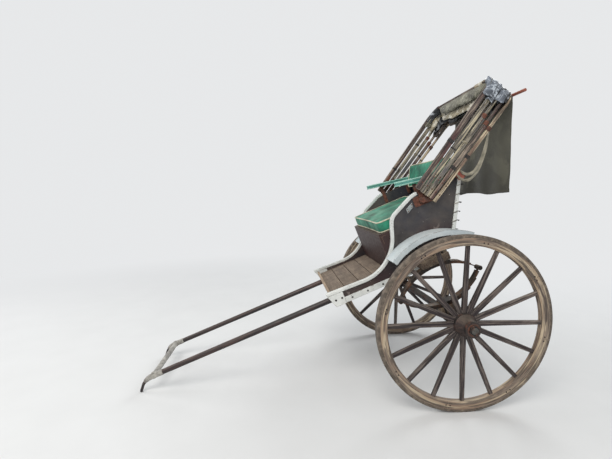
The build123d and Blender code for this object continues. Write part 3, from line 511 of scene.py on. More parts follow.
def frames_along(points, up=UP):
    """A direction and two square ones at each point of a line, without twist."""
    out = []
    side = None
    for i in range(len(points)):
        t = (points[min(i + 1, len(points) - 1)] - points[max(i - 1, 0)]).normalized()
        if side is None:
            side = t.cross(up if abs(t.dot(up)) < 0.9 else FORWARD).normalized()
        else:
            side = (side - t * side.dot(t)).normalized()
        out.append((t, side, t.cross(side)))
    return out


def closed_faces(verts, sides, start, end):
    """Faces over rings of vertices, closed at both ends by triangles round two added points."""
    faces = grid_faces(len(verts) // sides, sides, closed=True)
    last = len(verts) - sides
    verts += [start, end]
    faces += [((j + 1) % sides, j, last + sides) for j in range(sides)]
    return faces + [(last + j, last + (j + 1) % sides, last + sides + 1) for j in range(sides)]


def tube_mesh(points, radius, sides):
    """Vertices and faces of a closed tube; its radius in millimetres may come from a function of ring and side."""
    verts = []
    for i, (p, (t, a, b)) in enumerate(zip(points, frames_along(points))):
        for j in range(sides):
            turn = 2 * pi * j / sides
            r = radius(i, j) if callable(radius) else radius
            verts.append(p + (a * cos(turn) + b * sin(turn)) * (r * MM))
    return verts, closed_faces(verts, sides, points[0], points[-1])


# Outlines of bolt heads: shares of the radius and of the height
DOME = ((1, -0.3), (1, 0.55), (0.72, 0.9), (0.2, 1))
FLAT = ((1, -0.3), (1, 0.9), (0.9, 1))


class Joined:
    """Collects many small solids, sized in millimetres, into one piece."""

    def __init__(self):
        self.verts, self.faces = [], []

    def add(self, verts, faces):
        base = len(self.verts)
        self.verts += verts
        self.faces += [[base + i for i in f] for f in faces]

    def tube(self, points, radius, sides):
        self.add(*tube_mesh(points, radius, sides))

    def head(self, where, axis, radius, height, sides=12, rings=DOME):
        """A bolt head standing on a face."""
        a = axis.cross(LEFT if abs(axis.y) < 0.8 else UP).normalized()
        b = axis.cross(a)
        rise = axis * (height * MM)
        verts = []
        for share, up in rings:
            for j in range(sides):
                turn = 2 * pi * j / sides
                verts.append(where + (a * cos(turn) + b * sin(turn)) * (radius * MM) * share + rise * up)
        self.add(verts, closed_faces(verts, sides, where - rise * 0.3, where + rise))

    def make(self, name, material, body):
        piece(name, self.verts, self.faces, material, body)


def straight(a, b, steps):
    """Points at even steps from a to b."""
    return [a.lerp(b, i / steps) for i in range(steps + 1)]


def squarish(turn):
    """A point of a rounded square of half side 1, for cords wound round a slat."""
    c, w = cos(turn), sin(turn)
    grow = 1 / (abs(c) ** 6 + abs(w) ** 6) ** (1 / 6)
    return c * grow, w * grow


# Shafts, with tape round them and round the pulling bar
def shaft_point(s, length):
    """A point of a shaft's middle line, which bends down before its tip."""
    over = max(0, length - SHAFT_STRAIGHT)
    turn = min(over / TIP_BEND_R, TIP_BEND)
    past = max(0, over - TIP_BEND_R * TIP_BEND)
    x = min(length, SHAFT_STRAIGHT) + TIP_BEND_R * sin(turn) + past * cos(TIP_BEND)
    return at(x, s * SHAFT_Y, SHAFT_Z - TIP_BEND_R * (1 - cos(turn)) - past * sin(TIP_BEND))


def shaft_radius(length):
    """The shaft narrows evenly along its straight, and is worn slim round its bend."""
    share = (length - SHAFT_BACK) / (SHAFT_STRAIGHT - SHAFT_BACK)
    plain = SHAFT_R + (SHAFT_END_R - SHAFT_R) * min(1, share)
    tip = min(1, max(0, (length - SLIM_FROM) / SLIM_OVER))
    return plain + (TIP_R - plain) * tip * tip * (3 - 2 * tip)


def shaft(side, s):
    """A turned pole, a little uneven ahead of the body, whose rounded tip rests on the floor."""
    length = SHAFT_STRAIGHT
    while shaft_point(s, length).z > TIP_R * MM:
        length += 0.25
    lengths = [*range(SHAFT_BACK, 1790, 19), *range(SLIM_FROM, ceil(length), 5)]
    points = [shaft_point(s, n) for n in (*lengths, length)]
    radii = [shaft_radius(n) + 0.5 * ripple(n * 0.011, s) * (n > BODY_FRONT) for n in lengths] + [TIP_R]
    end = points[-1]
    down = (end - points[-2]).normalized()
    for n in range(1, 7):
        points.append(end + down * TIP_R * sin(n * pi / 14) * MM)
        radii.append(TIP_R * cos(n * pi / 14))
    obj = piece(f"pole_{side}", *tube_mesh(points, lambda i, j: radii[i], 28), "shaft_wood", "cart")
    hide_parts(f"shaft_{side}")


def wrap(name, points, radii, pitch, thick):
    """Tape wound round a bar: each turn lies half over the last."""
    sides = 28
    count = len(points)
    rng = random.Random(len(name) + count)
    lumps = [rng.uniform(-0.4, 0.6) for _ in range(count)]
    step = (points[1] - points[0]).length

    def radius(i, j):
        turns = i * step / (pitch * MM) + j / sides
        ends = min(1, i / 2, (count - 1 - i) / 2)
        fold = 0.7 * noise.noise(points[i] * 60 + Vector((j * 0.4, 0, 0)))
        return radii[i] + (thick * (0.6 + 0.8 * (turns % 1)) + lumps[i // 3] + fold) * ends

    piece(name, *tube_mesh(points, radius, sides), "tape", "cart")


bar_end = LEFT * (SHAFT_Y - 17) * MM
bar = straight(BAR - bar_end, BAR + bar_end, 230)
wrap("bar_tape", bar, [BAR_R] * len(bar), 19, 1.9)
for side, s in SIDES:
    shaft(side, s)
    wrap(f"shaft_tape_{side}", [shaft_point(s, n) for n in TAPED], [shaft_radius(n) + 0.3 for n in TAPED], 17, 1.7)
    knot = Joined()
    for n in range(9):
        # turns of tape that lean from the bar to the shaft
        centre = BAR + LEFT * s * (SHAFT_Y - 3 * n + 4) * MM
        ring = []
        for j in range(37):
            turn = 2 * pi * (j % 36) / 36
            out = 18.5 - max(0, n - 4) + 0.6 * sin(3 * turn + n)
            lean = 6 * sin(turn + n * 1.1)
            ring.append(centre + (FORWARD * cos(turn) * out + UP * sin(turn) * out + LEFT * lean) * MM)
        knot.tube(ring, 2.6, 8)
    knot.make(f"bar_lashing_{side}", "tape", "cart")

# Hubs: washer, cap and pin at the axle's end, nails of the felloe joints and of the inner band
for side, s in SIDES:
    out = LEFT * s
    end = AXLE + out * (RIM_Y + HUB_OUT * MM)
    washer, cap, pin, spikes = Joined(), Joined(), Joined(), Joined()
    washer.head(end + out * 0.4 * MM, out, 33, 2.6, 40, FLAT)
    washer.make(f"hub_washer_{side}", "rusty_iron", "cart")
    cap.head(end + out * 14.5 * MM, out, 18.5, 5, 32)
    cap.head(end + out * 18.5 * MM, out, 12.5, 4, 24)
    cap.make(f"axle_cap_{side}", "bright_iron", "cart")
    pin.tube(straight(end + (out * 16.5 - UP * 26) * MM, end + (out * 16.5 + UP * 30) * MM, 6), 2.2, 8)
    pin.make(f"axle_pin_{side}", "rusty_iron", "cart")
    for n in range(8):
        turn = radians(n * 45 + 11.25)
        ray = Vector((sin(turn), 0, -cos(turn)))
        for shift in (-12, 12):
            place = AXLE + out * (RIM_Y + FELLOE_FACE * MM) + (ray * FELLOE_MID + ray.cross(LEFT) * shift) * MM
            spikes.head(place, out, 4.2, 2.2, 10)
    for n in range(8):
        ray = Vector((sin(radians(n * 45)), 0, -cos(radians(n * 45))))
        spikes.head(AXLE + out * (RIM_Y - BAND_IN * MM) + ray * BAND_R * MM, ray, 3, 1.6, 8)
    spikes.make(f"wheel_nails_{side}", "black_iron", f"wheel_{side}")

# Bolts of the frame and nails of its boards
bolts, nails = Joined(), Joined()
for _, s in SIDES:
    out = LEFT * s
    for x in (-80, -20, 45):
        bolts.head(at(x, s * (BODY_Y + 70), BOLSTER_TOP), UP, 8, 5)
    for x in (-75, 0, 100, 200, 300, 400, 500):
        bolts.head(at(x, s * (BODY_Y + 3), RAIL_TOP - 18), out, 5.5, 3)
    for x in (560, 600):
        bolts.head(at(x, s * (BODY_Y + 8), RAIL_TOP + 4), out, 6, 3)
    for n in range(4):
        for shift in (-30, 30):
            nails.head(at(FLOOR_BACK + (n + 0.5) * BOARD + shift, s * 330, RAIL_TOP + FLOOR_T), UP, 3, 1, 8)
    for x in (-90, -48, 0, 48, 60):
        nails.head(at(x, s * 472, RAIL_TOP + 22), out, 3.2, 1.2, 8)
bolts.make("frame_bolts", "black_iron", "cart")
nails.make("board_nails", "rusty_iron", "cart")

# Curtain at the back
rod_lo, rod_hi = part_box("curtain_rod")
cur_lo, cur_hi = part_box("rear_curtain")


def curtain():
    """A worn canvas sheet that hangs from its stick with shallow folds, a hem and a frayed edge."""
    rows, cols = 64, 90
    width = cur_hi.y - cur_lo.y
    drop = cur_hi.z - cur_lo.z
    mid = (cur_lo.x + cur_hi.x) / 2
    verts = []
    for i in range(rows):
        v = i / (rows - 1)
        turned = 1.6 * (v > 0.955) - 1.2 * (v < 0.05)
        for j in range(cols):
            u = j / (cols - 1)
            sway = 7 * sin(u * 9.5 + 0.6) + 3.5 * sin(u * 21 + 2.2) + 9 * ripple(u * 2.2, v * 1.6, 3.1)
            gather = (0.15 + 0.85 * v ** 0.8) * sway
            hem = 5 * sin(u * 11) + 4 * ripple(u * 8, 0, 9)
            edge = 4 * ripple(v * 6, 7 if u < 0.5 else 3) if u < 0.02 or u > 0.98 else 0
            fray = 1.5 * ripple(u * 60, 0, 2) if i == rows - 1 else 0
            verts.append((mid + (gather - turned) * MM, cur_lo.y + width * u + edge * MM,
                          cur_hi.z - drop * v * (1 + 0.002 * hem) - fray * MM))
    obj = piece("curtain", verts, grid_faces(rows, cols), "dark_cloth")
    thicken(obj, 2)
    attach(obj, "cart")
    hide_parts("rear_curtain")


curtain()
loops = Joined()
for n in range(8):
    y = cur_lo.y + (cur_hi.y - cur_lo.y) * (n + 0.5) / 8
    centre = Vector(((rod_lo.x + rod_hi.x) / 2, y, rod_hi.z - 13 * MM))
    ring = []
    for j in range(25):
        turn = 2 * pi * j / 24
        ring.append(centre + Vector((11.5 * cos(turn), 3 * sin(turn * 2 + n), 16 * sin(turn))) * MM)
    loops.tube(ring, 1.7, 7)
loops.make("curtain_ties", "black_rag", "cart")


# Hood cloth between the hoops
SIDE_RUN = CROWN - HOOP_BEND - HOOD_FROM
BEND_RUN = pi / 2 * HOOP_BEND
TOP_RUN = 2 * (SLAT_Y - HOOP_BEND)
HOOP_RUN = 2 * SIDE_RUN + 2 * BEND_RUN + TOP_RUN


def hoop_at(d):
    """Along, across and the inward direction at a length of the hoop, from the left slat over the crown."""
    s, d = (1, d) if d <= HOOP_RUN / 2 else (-1, HOOP_RUN - d)
    r = HOOP_BEND
    if d <= SIDE_RUN:
        return HOOD_FROM + d, s * SLAT_Y, 0, -s
    if d <= SIDE_RUN + BEND_RUN:
        t = (d - SIDE_RUN) / r
        return CROWN - r + r * sin(t), s * (SLAT_Y - r + r * cos(t)), -sin(t), -s * cos(t)
    return CROWN, s * (SLAT_Y - r - (d - SIDE_RUN - BEND_RUN)), -1, 0


def hood_panel(k, material, seed, depth, outward):
    """The cloth between bow k and the next: a loose crumpled fold with holes."""
    rows, cols = 170, 36
    upper, lower = BOWS[k], BOWS[k + 1]
    verts = []
    for i in range(rows):
        for j in range(cols):
            v = j / (cols - 1)
            torn = [55 + 62 * ripple(v * 2.6, seed, n) + 16 * ripple(v * 9, seed, n) for n in (0, 5)]
            d = torn[0] + (HOOP_RUN - torn[0] - torn[1]) * i / (rows - 1)
            along, y, ia, iy = hoop_at(d)
            corner = sum(exp(-((d - m) / 95) ** 2) for m in (SIDE_RUN + 70, HOOP_RUN - SIDE_RUN - 70))
            from_end = min(d - torn[0], HOOP_RUN - torn[1] - d)
            belly = sin(pi * v) ** 0.7
            deep = depth * (1 + 0.4 * ripple(d * 0.006, seed)) * min(1, 0.25 + from_end / 160)
            deep = deep * (1 - corner) - outward * corner
            crease = 4.5 * ridge(d * 0.012, v * 1.7, seed) + 2.6 * ridge(d * 0.035, v * 4, seed + 3)
            fine = 1.3 * ripple(d * 0.11, v * 9, seed)
            hem = cos(pi * v) ** 6
            push = -hem * (upper.hoop_r + 3.2 if v < 0.5 else lower.hoop_r + 2) + deep * belly
            push += (crease + fine) * (1 - hem)
            spot = along + ia * push, y + iy * push
            a = bow_point(k, *spot, upper.hoop_r * 0.4 * hem)
            b = bow_point(k + 1, *spot, -lower.hoop_r * 0.3 * hem)
            p = a.lerp(b, 0.5 - 0.5 * cos(pi * v))
            verts.append(p + (a - b).normalized() * 4 * MM * (1 - hem) * ridge(d * 0.02, v * 3, seed + 8))
    faces = []
    for f in grid_faces(rows, cols):
        i, j = divmod(f[0], cols)
        hole = ripple(i * 0.19, j * 0.21, seed * 1.7) > 0.5
        if not (hole and 2 < j < cols - 4 and abs(2 * i - rows) > 60):
            faces.append(f)
    used = sorted({i for f in faces for i in f})
    number = {i: n for n, i in enumerate(used)}
    faces = [[number[i] for i in f] for f in faces]
    obj = piece(f"hood_cloth_{k + 1}", [verts[i] for i in used], faces, material)
    area = thicken(obj, 1.3)
    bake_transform(obj)
    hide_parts(f"cover_fold_{k + 1}")


# material, seed, depth of the fold, bulge at the corners
for k, panel_look in enumerate((("grey_cover", 1.3, 80, 14), ("khaki_cloth", 4.1, 112, 6),
                                ("cover_cloth", 7.7, 88, 16), ("brown_cloth", 9.2, 104, 4))):
    hood_panel(k, *panel_look)


def rag(name, k, start, length, reach, material, seed, tail=1, peak=0):
    """A torn cloth folded over hoop k that hangs from it on both sides; peak raises a pinched point."""
    rows, cols = max(14, int(length / 3.2)), 40
    fold_r = BOWS[k].hoop_r + 3.5
    girth = pi * fold_r
    bow_up = (bow_point(k, CROWN, 0, 1) - bow_point(k, CROWN, 0)).normalized()
    verts = []
    for i in range(rows):
        t = i / (rows - 1)
        d = start + length * t
        near_end = max(0, 1 - min(t, 1 - t) * length / 30)
        low, high = (reach * (0.8 + 0.6 * ripple(d * 0.013, seed, n) + 0.06 * ripple(d * 0.05, seed, n))
                     for n in (2, 6))
        total = low + girth + high * tail
        for j in range(cols):
            c = total * j / (cols - 1) - low
            uneven = 14 * ripple(c * 0.035, seed, 3 if t < 0.5 else 8) + 3 * ripple(c * 0.16, seed, 5)
            along, y, ia, iy = hoop_at(d + near_end * uneven)
            p = bow_point(k, along, y)
            inward = (bow_point(k, along + ia, y + iy) - p).normalized()
            side_in = 1
            if c < 0:
                q, out = c, fold_r
            elif c <= girth:
                q, out = fold_r * sin(c / fold_r), fold_r * cos(c / fold_r)
            else:
                q, out, side_in = girth - c, -fold_r, -1
            hang = max(0, -q)
            share = min(1, hang / 30)
            crumple = (7 * ridge(d * 0.011, c * 0.008, seed) + 1.8 * ridge(d * 0.024, c * 0.018, seed + 4)) * share
            crumple += 0.4 * ripple(d * 0.05, c * 0.05, seed)
            out += side_in * (abs(crumple) * 0.8 + hang * 0.16)
            sway = 4 * ripple(d * 0.02, seed, c * 0.02) * share
            pinch = peak * exp(-((d - SIDE_RUN - 0.45 * BEND_RUN) / 17) ** 2)
            pinch *= sin(pi * min(1, max(0, c / girth))) ** 2
            p += (inward * out + bow_up * q + LEFT * sway) * MM
            verts.append(p + (bow_up * 0.8 - inward * 0.6) * pinch * MM)
    obj = piece(name, verts, grid_faces(rows, cols), material)
    area = thicken(obj, 1.4)
    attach(obj, BOWS[k].body)


# name, bow, start along the hoop, length, reach down each side, material, seed, share of the inner side
CORNER = SIDE_RUN + 60
rag("torn_cover_1", 0, CORNER - 95, 175, 40, "silver_cover", 2.2, peak=26)
rag("torn_cover_2", 1, CORNER - 110, 150, 34, "silver_cover", 5.9, 0.8)
rag("torn_cover_3", 2, CORNER - 80, 160, 38, "silver_cover", 8.4)
rag("torn_cover_4", 3, CORNER - 60, 120, 34, "cover_cloth", 3.7, 0.7)
rag("torn_cover_5", 0, HOOP_RUN - CORNER - 60, 150, 36, "cover_cloth", 6.6)
rag("torn_cover_6", 2, HOOP_RUN - CORNER - 70, 140, 34, "cover_cloth", 9.9, 0.9)
rag("pale_rag_1", 0, CORNER + 105, 95, 30, "pale_rag", 1.9, 0.6)
rag("pale_rag_2", 1, CORNER + 70, 240, 38, "pale_rag", 7.1, 0.5)
rag("khaki_rag", 3, HOOP_RUN / 2 + 60, 190, 40, "khaki_cloth", 4.4, 0.5)


# Straps below the lowest slat
def hanging(a, b, length, count):
    """Points of a limp strip of the given length that hangs between two points, lowest in its catenary."""
    flat = Vector((b.x - a.x, b.y - a.y, 0))
    span, rise = flat.length, b.z - a.z
    reach = sqrt(length ** 2 - rise ** 2)
    low, high = 0.05 * span, 50 * span
    for _ in range(60):
        size = (low + high) / 2
        low, high = (low, size) if 2 * size * sinh(min(span / (2 * size), 50)) < reach else (size, high)
    start = span / 2 - size * atanh(rise / length)
    drop = size * cosh(start / size)
    shares = [n / count for n in range(count + 1)]
    return [a + flat * q + PLUMB * (size * cosh((span * q - start) / size) - drop) for q in shares]


def strap(name, start, stop, length, out, seed):
    """A frayed strip of cloth tied round the lowest slat at two places, hanging in a loop below it."""
    rows, cols = 61, 9
    line = hanging(bow_point(4, start, out, -8), bow_point(4, stop, out, -8), length * MM, rows - 1)
    verts = []
    for i, (p, (t, side, square)) in enumerate(zip(line, frames_along(line, LEFT))):
        twist = 0.9 * ripple(i * 0.05, seed)
        wide = side * cos(twist) + square * sin(twist)
        half = STRAP / 2 * (1 + 0.25 * ripple(i * 0.12, seed, 4)) * min(1, 0.35 + min(i, rows - 1 - i) / 9)
        for j in range(cols):
            u = 2 * j / (cols - 1) - 1
            cup = 1.6 * u * u + 0.8 * ripple(i * 0.3, u * 2, seed)
            verts.append(p + (wide * half * u + t.cross(wide) * cup) * MM)
    obj = piece(name, verts, grid_faces(rows, cols), "strap_cloth")
    thicken(obj, 1.2)
    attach(obj, "cart")


strap("hood_strap_1", 538, 232, 392, SLAT_OUT + 4, 1)
strap("hood_strap_2", 530, 262, 332, SLAT_OUT + 7, 6)


# Bows: ferrules where the hoops leave the slats, rivets through the irons, lashings of old cane and cloth
FERRULE = ((0, -1.2), (2, 0), (16, 0.6), (24, 1.4), (27, 1), (28, -1))  # length and flare
for k, bow in enumerate(BOWS):
    metal, rivets, ties = Joined(), Joined(), Joined()
    rng = random.Random(40 + k)
    for _, s in SIDES:
        if k > 1:
            metal.tube([bow_point(k, bow.slat_end - 14 + n, s * SLAT_Y) for n, _ in FERRULE],
                       lambda i, j: bow.hoop_r + 4.6 + FERRULE[i][1], 24)
        for along in (78, 142, 160):
            rivets.head(bow_point(k, along, s * SLAT_OUT), LEFT * s, 4.2, 2.4, 12)
        rivets.head(bow_point(k, bow.slat_end - 30, s * SLAT_OUT), LEFT * s, 3.2, 1.8, 10)
        start, turns = rng.uniform(230, 500), rng.choice((3, 4, 6))
        share = (start - SLAT_FOOT) / (bow.slat_end - SLAT_FOOT)
        half = bow.wide * (1 - (1 - SLAT_TAPER) * share) / 2 + 1.2
        deep = SLAT_T / 2 + 1.2
        path = []
        for n in range(turns * 16 + 1):
            c, w = squarish(2 * pi * n / 16)
            path.append(bow_point(k, start + n * 3.6 / 16 + 0.5 * sin(n), s * SLAT_Y + deep * w, half * c))
        ties.tube(path, 1.5, 7)
    if k > 1:
        metal.make(f"ferrules_{k + 1}", "rusty_iron", bow.body)
    rivets.make(f"bow_rivets_{k + 1}", "rusty_iron", bow.body)
    ties.make(f"bow_lashings_{k + 1}", "khaki_cloth" if k == 2 else "black_rag", bow.body)


# Plate on each moulding's upper end, old lacing with knots down the rear rails
def bent_plate(name, corners, out):
    """A small bare sheet-metal plate, a little bent."""
    a, b, c, d = corners
    rows, cols = 12, 16
    verts = []
    for i in range(rows):
        for j in range(cols):
            u, v = i / (rows - 1), j / (cols - 1)
            bulge = 0.9 * sin(pi * u) * sin(pi * v) + 0.7 * ripple(u * 3, v * 4, 2)
            verts.append(a.lerp(b, v).lerp(d.lerp(c, v), u) + out * (1.6 + abs(bulge)) * MM)
    obj = piece(name, verts, grid_faces(rows, cols), "plate_metal")
    thicken(obj, 1.6)
    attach(obj, "cart")


for side, s in SIDES:
    y = s * (BODY_Y + 0.6)
    bent_plate(f"trim_plate_{side}", [at(10, y, 684), at(-38, y, 708), at(-34, y, 678), at(8, y, 656)], LEFT * s)
    studs, laces, tufts = Joined(), Joined(), Joined()
    for x, z in ((2, 680), (-30, 697), (1, 666), (-27, 682)):
        studs.head(at(x, y, z) + LEFT * s * 2.6 * MM, LEFT * s, 3, 1.8, 10)
    studs.make(f"plate_studs_{side}", "rusty_iron", "cart")
    rng = random.Random(7)
    for n in range(6):
        z = 455 + n * 48
        x = REAR_FOOT_X - (z - BOLSTER_TOP) * RAIL_LEAN
        path = []
        for m in range(34):
            c, w = squarish(2 * pi * m / 11)
            path.append(at(x + 12.6 * c, s * (BODY_Y - 4 + 13.4 * w), z + 0.9 * m / 5 + rng.uniform(-0.6, 0.6)))
        laces.tube(path, 1.7, 7)
        for m in range(4):
            lean = rng.uniform(-0.5, 0.5)
            reach = rng.uniform(12, 22)
            y = BODY_Y - 8 + 3 * m
            tufts.tube([at(x - 13 - reach * q, s * (y + 4 * lean * q), z + m - 8 * q * q + 5 * lean * q)
                        for q in (0, 0.3, 0.65, 1)], 1.9, 6)
    laces.make(f"rail_laces_{side}", "tape", "cart")
    tufts.make(f"rail_knots_{side}", "black_rag", "cart")


# Cushions and pads, in metres: panels sewn along piped seams, blown up by a short cloth simulation
SWELL_FRAMES = 20


def rounded(u, v, half_a, half_b, corner, pull):
    """A point of a rounded rectangle from a point of the square, sides drawn in by pull."""
    m = max(abs(u), abs(v))
    if m < 1e-9:
        return 0, 0
    c = corner * m
    x, y = u * half_a, v * half_b
    dx, dy = abs(x) - (half_a * m - c), abs(y) - (half_b * m - c)
    if dx > 0 and dy > 0:
        grow = max(dx, dy) / hypot(dx, dy)
        x = copysign(half_a * m - c + dx * grow, x)
        y = copysign(half_b * m - c + dy * grow, y)
    if abs(v) >= abs(u):
        y -= copysign(pull * m * (1 - (u / m) ** 2), y)
    if abs(u) >= abs(v):
        x -= copysign(pull * m * (1 - (v / m) ** 2), x)
    return x, y


def swell(obj, pinned, cap):
    """Inflates a sewn pad whose seams are pinned, and keeps every point within cap of its start."""
    start = [v.co.copy() for v in obj.data.vertices]
    obj.vertex_groups.new(name="seams").add(pinned, 1, "REPLACE")
    mod = obj.modifiers.new("cloth", "CLOTH")
    put(mod.settings, quality=6, mass=0.3, tension_stiffness=12, compression_stiffness=12, shear_stiffness=6,
        bending_stiffness=0.4, vertex_group_mass="seams", use_pressure=True, uniform_pressure_force=4)
    mod.settings.effector_weights.gravity = 0
    put(mod.point_cache, frame_start=1, frame_end=SWELL_FRAMES)
    for n in range(1, SWELL_FRAMES + 1):
        scene.frame_set(n)
    seen = obj.evaluated_get(bpy.context.evaluated_depsgraph_get())
    moved = [v.co.copy() for v in seen.data.vertices]
    obj.modifiers.clear()
    scene.frame_set(1)
    for v, a, b in zip(obj.data.vertices, start, moved):
        d = b - a
        v.co = a + d * min(1, cap / max(d.length, 1e-9))
    obj.vertex_groups.clear()


def pad(name, centre, axes, size, node, material, piping, crown, corner, pull, cell, cap, channels=(), welt=4.2,
        wear=0.0012):
    """A boxed pad, sized along its axes (long, wide, thick), whose flat underside rests on something."""
    a, b, n = (Vector(v).normalized() for v in axes)
    half_a, half_b, thick = size[0] / 2, size[1] / 2, size[2]
    na, nb, nn = max(8, round(size[0] / cell)), max(6, round(size[1] / cell)), max(3, round(thick / cell))
    cols = nb + 1
    flat = (na + 1) * cols      # points of each panel, the top one first
    local = []
    for top, z in ((True, thick / 2), (False, -thick / 2)):
        for i in range(na + 1):
            for j in range(cols):
                u, v = 2 * i / na - 1, 2 * j / nb - 1
                x, y = rounded(u, v, half_a, half_b, corner, pull)
                lift = 0
                if top:
                    lift = crown * max(0, (1 - u ** 4) * (1 - v ** 4)) ** 0.8
                    for c in channels:
                        lift -= 0.55 * crown * exp(-((x - c) / 0.009) ** 2) * (1 - v ** 8)
                local.append((x, y, z + lift))
    faces = []
    for f in grid_faces(na + 1, cols):
        faces += [f[::-1], [flat + i for i in f]]
    ring = [i * cols for i in range(na + 1)] + [na * cols + j for j in range(1, cols)]
    ring += [i * cols + nb for i in range(na - 1, -1, -1)] + [*range(nb - 1, 0, -1)]
    rows = [[flat + i for i in ring]]
    for r in range(1, nn):
        rows.append([*range(len(local), len(local) + len(ring))])
        for x, y, z in [local[i] for i in rows[0]]:
            out = Vector((x / half_a ** 2, y / half_b ** 2, 0)).normalized() * sin(pi * r / nn) * 0.003
            local.append((x + out.x, y + out.y, z + thick * r / nn))
    rows.append(ring)
    for lower, upper in zip(rows, rows[1:]):
        for j in range(len(ring)):
            k = (j + 1) % len(ring)
            faces.append((lower[j], lower[k], upper[k], upper[j]))
    verts = [centre + a * x + b * y + n * z for x, y, z in local]
    obj = piece(name, verts, faces, material)
    bm = bmesh.new()
    bm.from_mesh(obj.data)
    bmesh.ops.recalc_face_normals(bm, faces=bm.faces)
    bm.to_mesh(obj.data)
    bm.free()
    pinned = rows[0] + ring
    for c in channels:
        pinned += [i for i in range(flat) if abs(local[i][0] - c) < 0.5 * cell and abs(local[i][1]) < half_b * 0.97]
    swell(obj, pinned, cap)
    seed = len(name) * 1.7
    for v in obj.data.vertices:
        p = v.co - centre
        x, y, up = p.dot(a), p.dot(b), p.dot(n)
        edge = min(half_a - abs(x), half_b - abs(y))
        pucker = ripple(x * 34, y * 34, seed) * max(0, 1 - abs(edge) / 0.045)
        dent = ripple(x * 7, y * 7, seed + 5) * 0.6
        if up > -thick / 2 + 0.002:
            v.co += n * (pucker + dent) * wear * 1.6
        v.co += n * max(0, -thick / 2 - (v.co - centre).dot(n))
    modify(obj, "SUBSURF", levels=1)
    obj.data.shade_smooth()
    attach(obj, "cart")
    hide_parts(node)
    welts = Joined()
    for row, inset in ((rows[0], -0.9), (ring, 0.2)):
        welts.tube([verts[i] - n * (welt * MM) * inset for i in (*row, row[0])], welt, 9)
    welts.make(f"{name}_piping", piping, "cart")


# Each pad's middle is half its thickness and a gap of 1 mm from what it rests on
SEAT_X = (-242.6, 200)
pad("seat_pad", at(sum(SEAT_X) / 2, 0, SEAT_Z + 1 + 33), (LEFT, FORWARD, UP), (0.658, 0.43, 0.066), "seat_cushion",
    "green_vinyl", "pale_vinyl", crown=0.008, corner=0.032, pull=0.006, cell=0.0125, cap=0.011)

BACK_UP = UP * cos(BACK_TILT) - FORWARD * sin(BACK_TILT)
BACK_OFF = LEFT.cross(BACK_UP)
BACK_Z = (696.3, 848)
BACKREST_HALF = 11
low, high = ((z - BOLSTER_TOP) / cos(BACK_TILT) for z in BACK_Z)
middle = at(REAR_FOOT_X, 0, BOLSTER_TOP) + (BACK_UP * (low + high) / 2 + BACK_OFF * (BACKREST_HALF + 1 + 28)) * MM
pad("back_pad", middle, (LEFT, BACK_UP, BACK_OFF), (0.594, (high - low - 8) * MM, 0.056), "back_cushion",
    "green_vinyl", "pale_vinyl", crown=0.011, corner=0.026, pull=0.003, cell=0.0099, cap=0.01,
    channels=(-0.1782, -0.0594, 0.0594, 0.1782))

ARM_DIR = (FORWARD * 345 + UP * 58).normalized()
for side, s in SIDES:
    pad(f"arm_pad_{side}", at(-172.5, s * 333, 809), (ARM_DIR, LEFT, ARM_DIR.cross(LEFT)), (0.372, 0.045, 0.024),
        "arm_pads", "turquoise_vinyl", "stripe_vinyl", crown=0.003, corner=0.02, pull=0, cell=0.006, cap=0.004,
        welt=4.4, wear=0.0005)

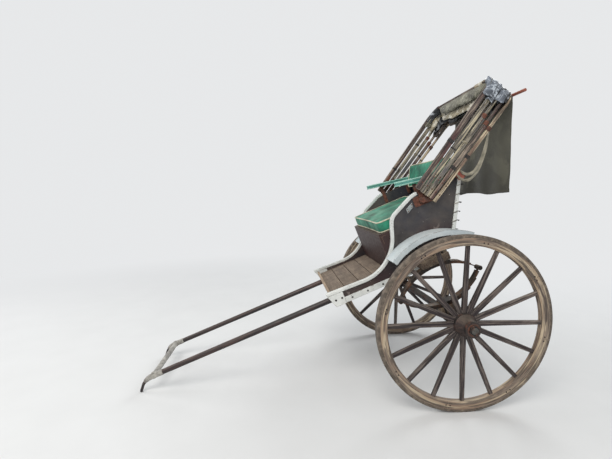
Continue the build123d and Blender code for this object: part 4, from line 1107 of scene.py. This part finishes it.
# Floor, light and camera
bpy.ops.mesh.primitive_plane_add(size=60, location=(0, 0, 0))
floor = bpy.context.object
floor.name = "floor"
f = Shade("floor")
spot = f.coords()
shown = f.ramp(f.noise(spot, 3, 3), (0, (0.66, 0.66, 0.65, 1)), (1, (0.72, 0.72, 0.71, 1)))
surface = f.add("BsdfPrincipled", {"Base Color": shown, "Roughness": 0.9})
backdrop = f.add("Emission", {"Color": SKY, "Strength": 1})
away = f.add("VectorMath", {0: spot}, out=1, operation="LENGTH")
fade = f.add("MapRange", {0: away, 1: 1.6, 2: 5.5}, interpolation_type="SMOOTHSTEP")
seen_share = f.times(fade, f.add("LightPath"))
floor.data.materials.append(f.close(f.add("MixShader", {0: seen_share, 1: surface, 2: backdrop})))

w = Shade("studio", world=True)
rays = [w.add("LightPath", out=f"Is {kind} Ray") for kind in ("Camera", "Glossy", "Transmission")]
shows = w.math("MAXIMUM", w.math("MAXIMUM", rays[0], rays[1]), rays[2])
light = w.add("Background", {0: (0.93, 0.96, 1, 1), 1: 0.55})
scene.world = w.close(w.add("MixShader", {0: shows, 1: light, 2: w.add("Background", {0: SKY, 1: 1})}))


def aim(obj, place, look):
    """Puts a lamp or camera in its place, looking along a direction."""
    obj.location = place
    obj.rotation_mode = "QUATERNION"
    obj.rotation_quaternion = look.to_track_quat("-Z", "Y")
    scene.collection.objects.link(obj)


def lamp(name, place, target, size, power, colour=(1, 1, 1)):
    data = bpy.data.lights.new(name, "AREA")
    put(data, size=size, energy=power, color=colour)
    aim(bpy.data.objects.new(name, data), place, Vector(target) - Vector(place))


lamp("key", (1.8, 4.2, 5.2), (-0.3, 0, 0.7), 3.5, 260, (1, 0.98, 0.95))
lamp("back", (-3.5, -4, 4.5), (-0.4, 0, 0.8), 3, 150, (0.95, 0.98, 1))
lamp("front", (5, -1, 2.6), (0, 0, 0.7), 2.5, 70)

# The camera fitted to the photograph: metres from the axle and the floor, its lens in pixels of the photograph
AHEAD, ASIDE, HEIGHT = 1.023, 2.446, 1.199
FOCAL, PHOTO_WIDTH = 360, 612
yaw, pitch = radians(-4.373), radians(-5.089)
cam_data = bpy.data.cameras.new("camera")
cam_data.sensor_width = 36
cam_data.lens = FOCAL * cam_data.sensor_width / PHOTO_WIDTH
cam = bpy.data.objects.new("camera", cam_data)
look = Vector((sin(yaw) * cos(pitch), -cos(yaw) * cos(pitch), sin(pitch)))
aim(cam, (AXLE.x + AHEAD, ASIDE, HEIGHT), look)
scene.camera = cam
scene.view_settings.view_transform = "Standard"
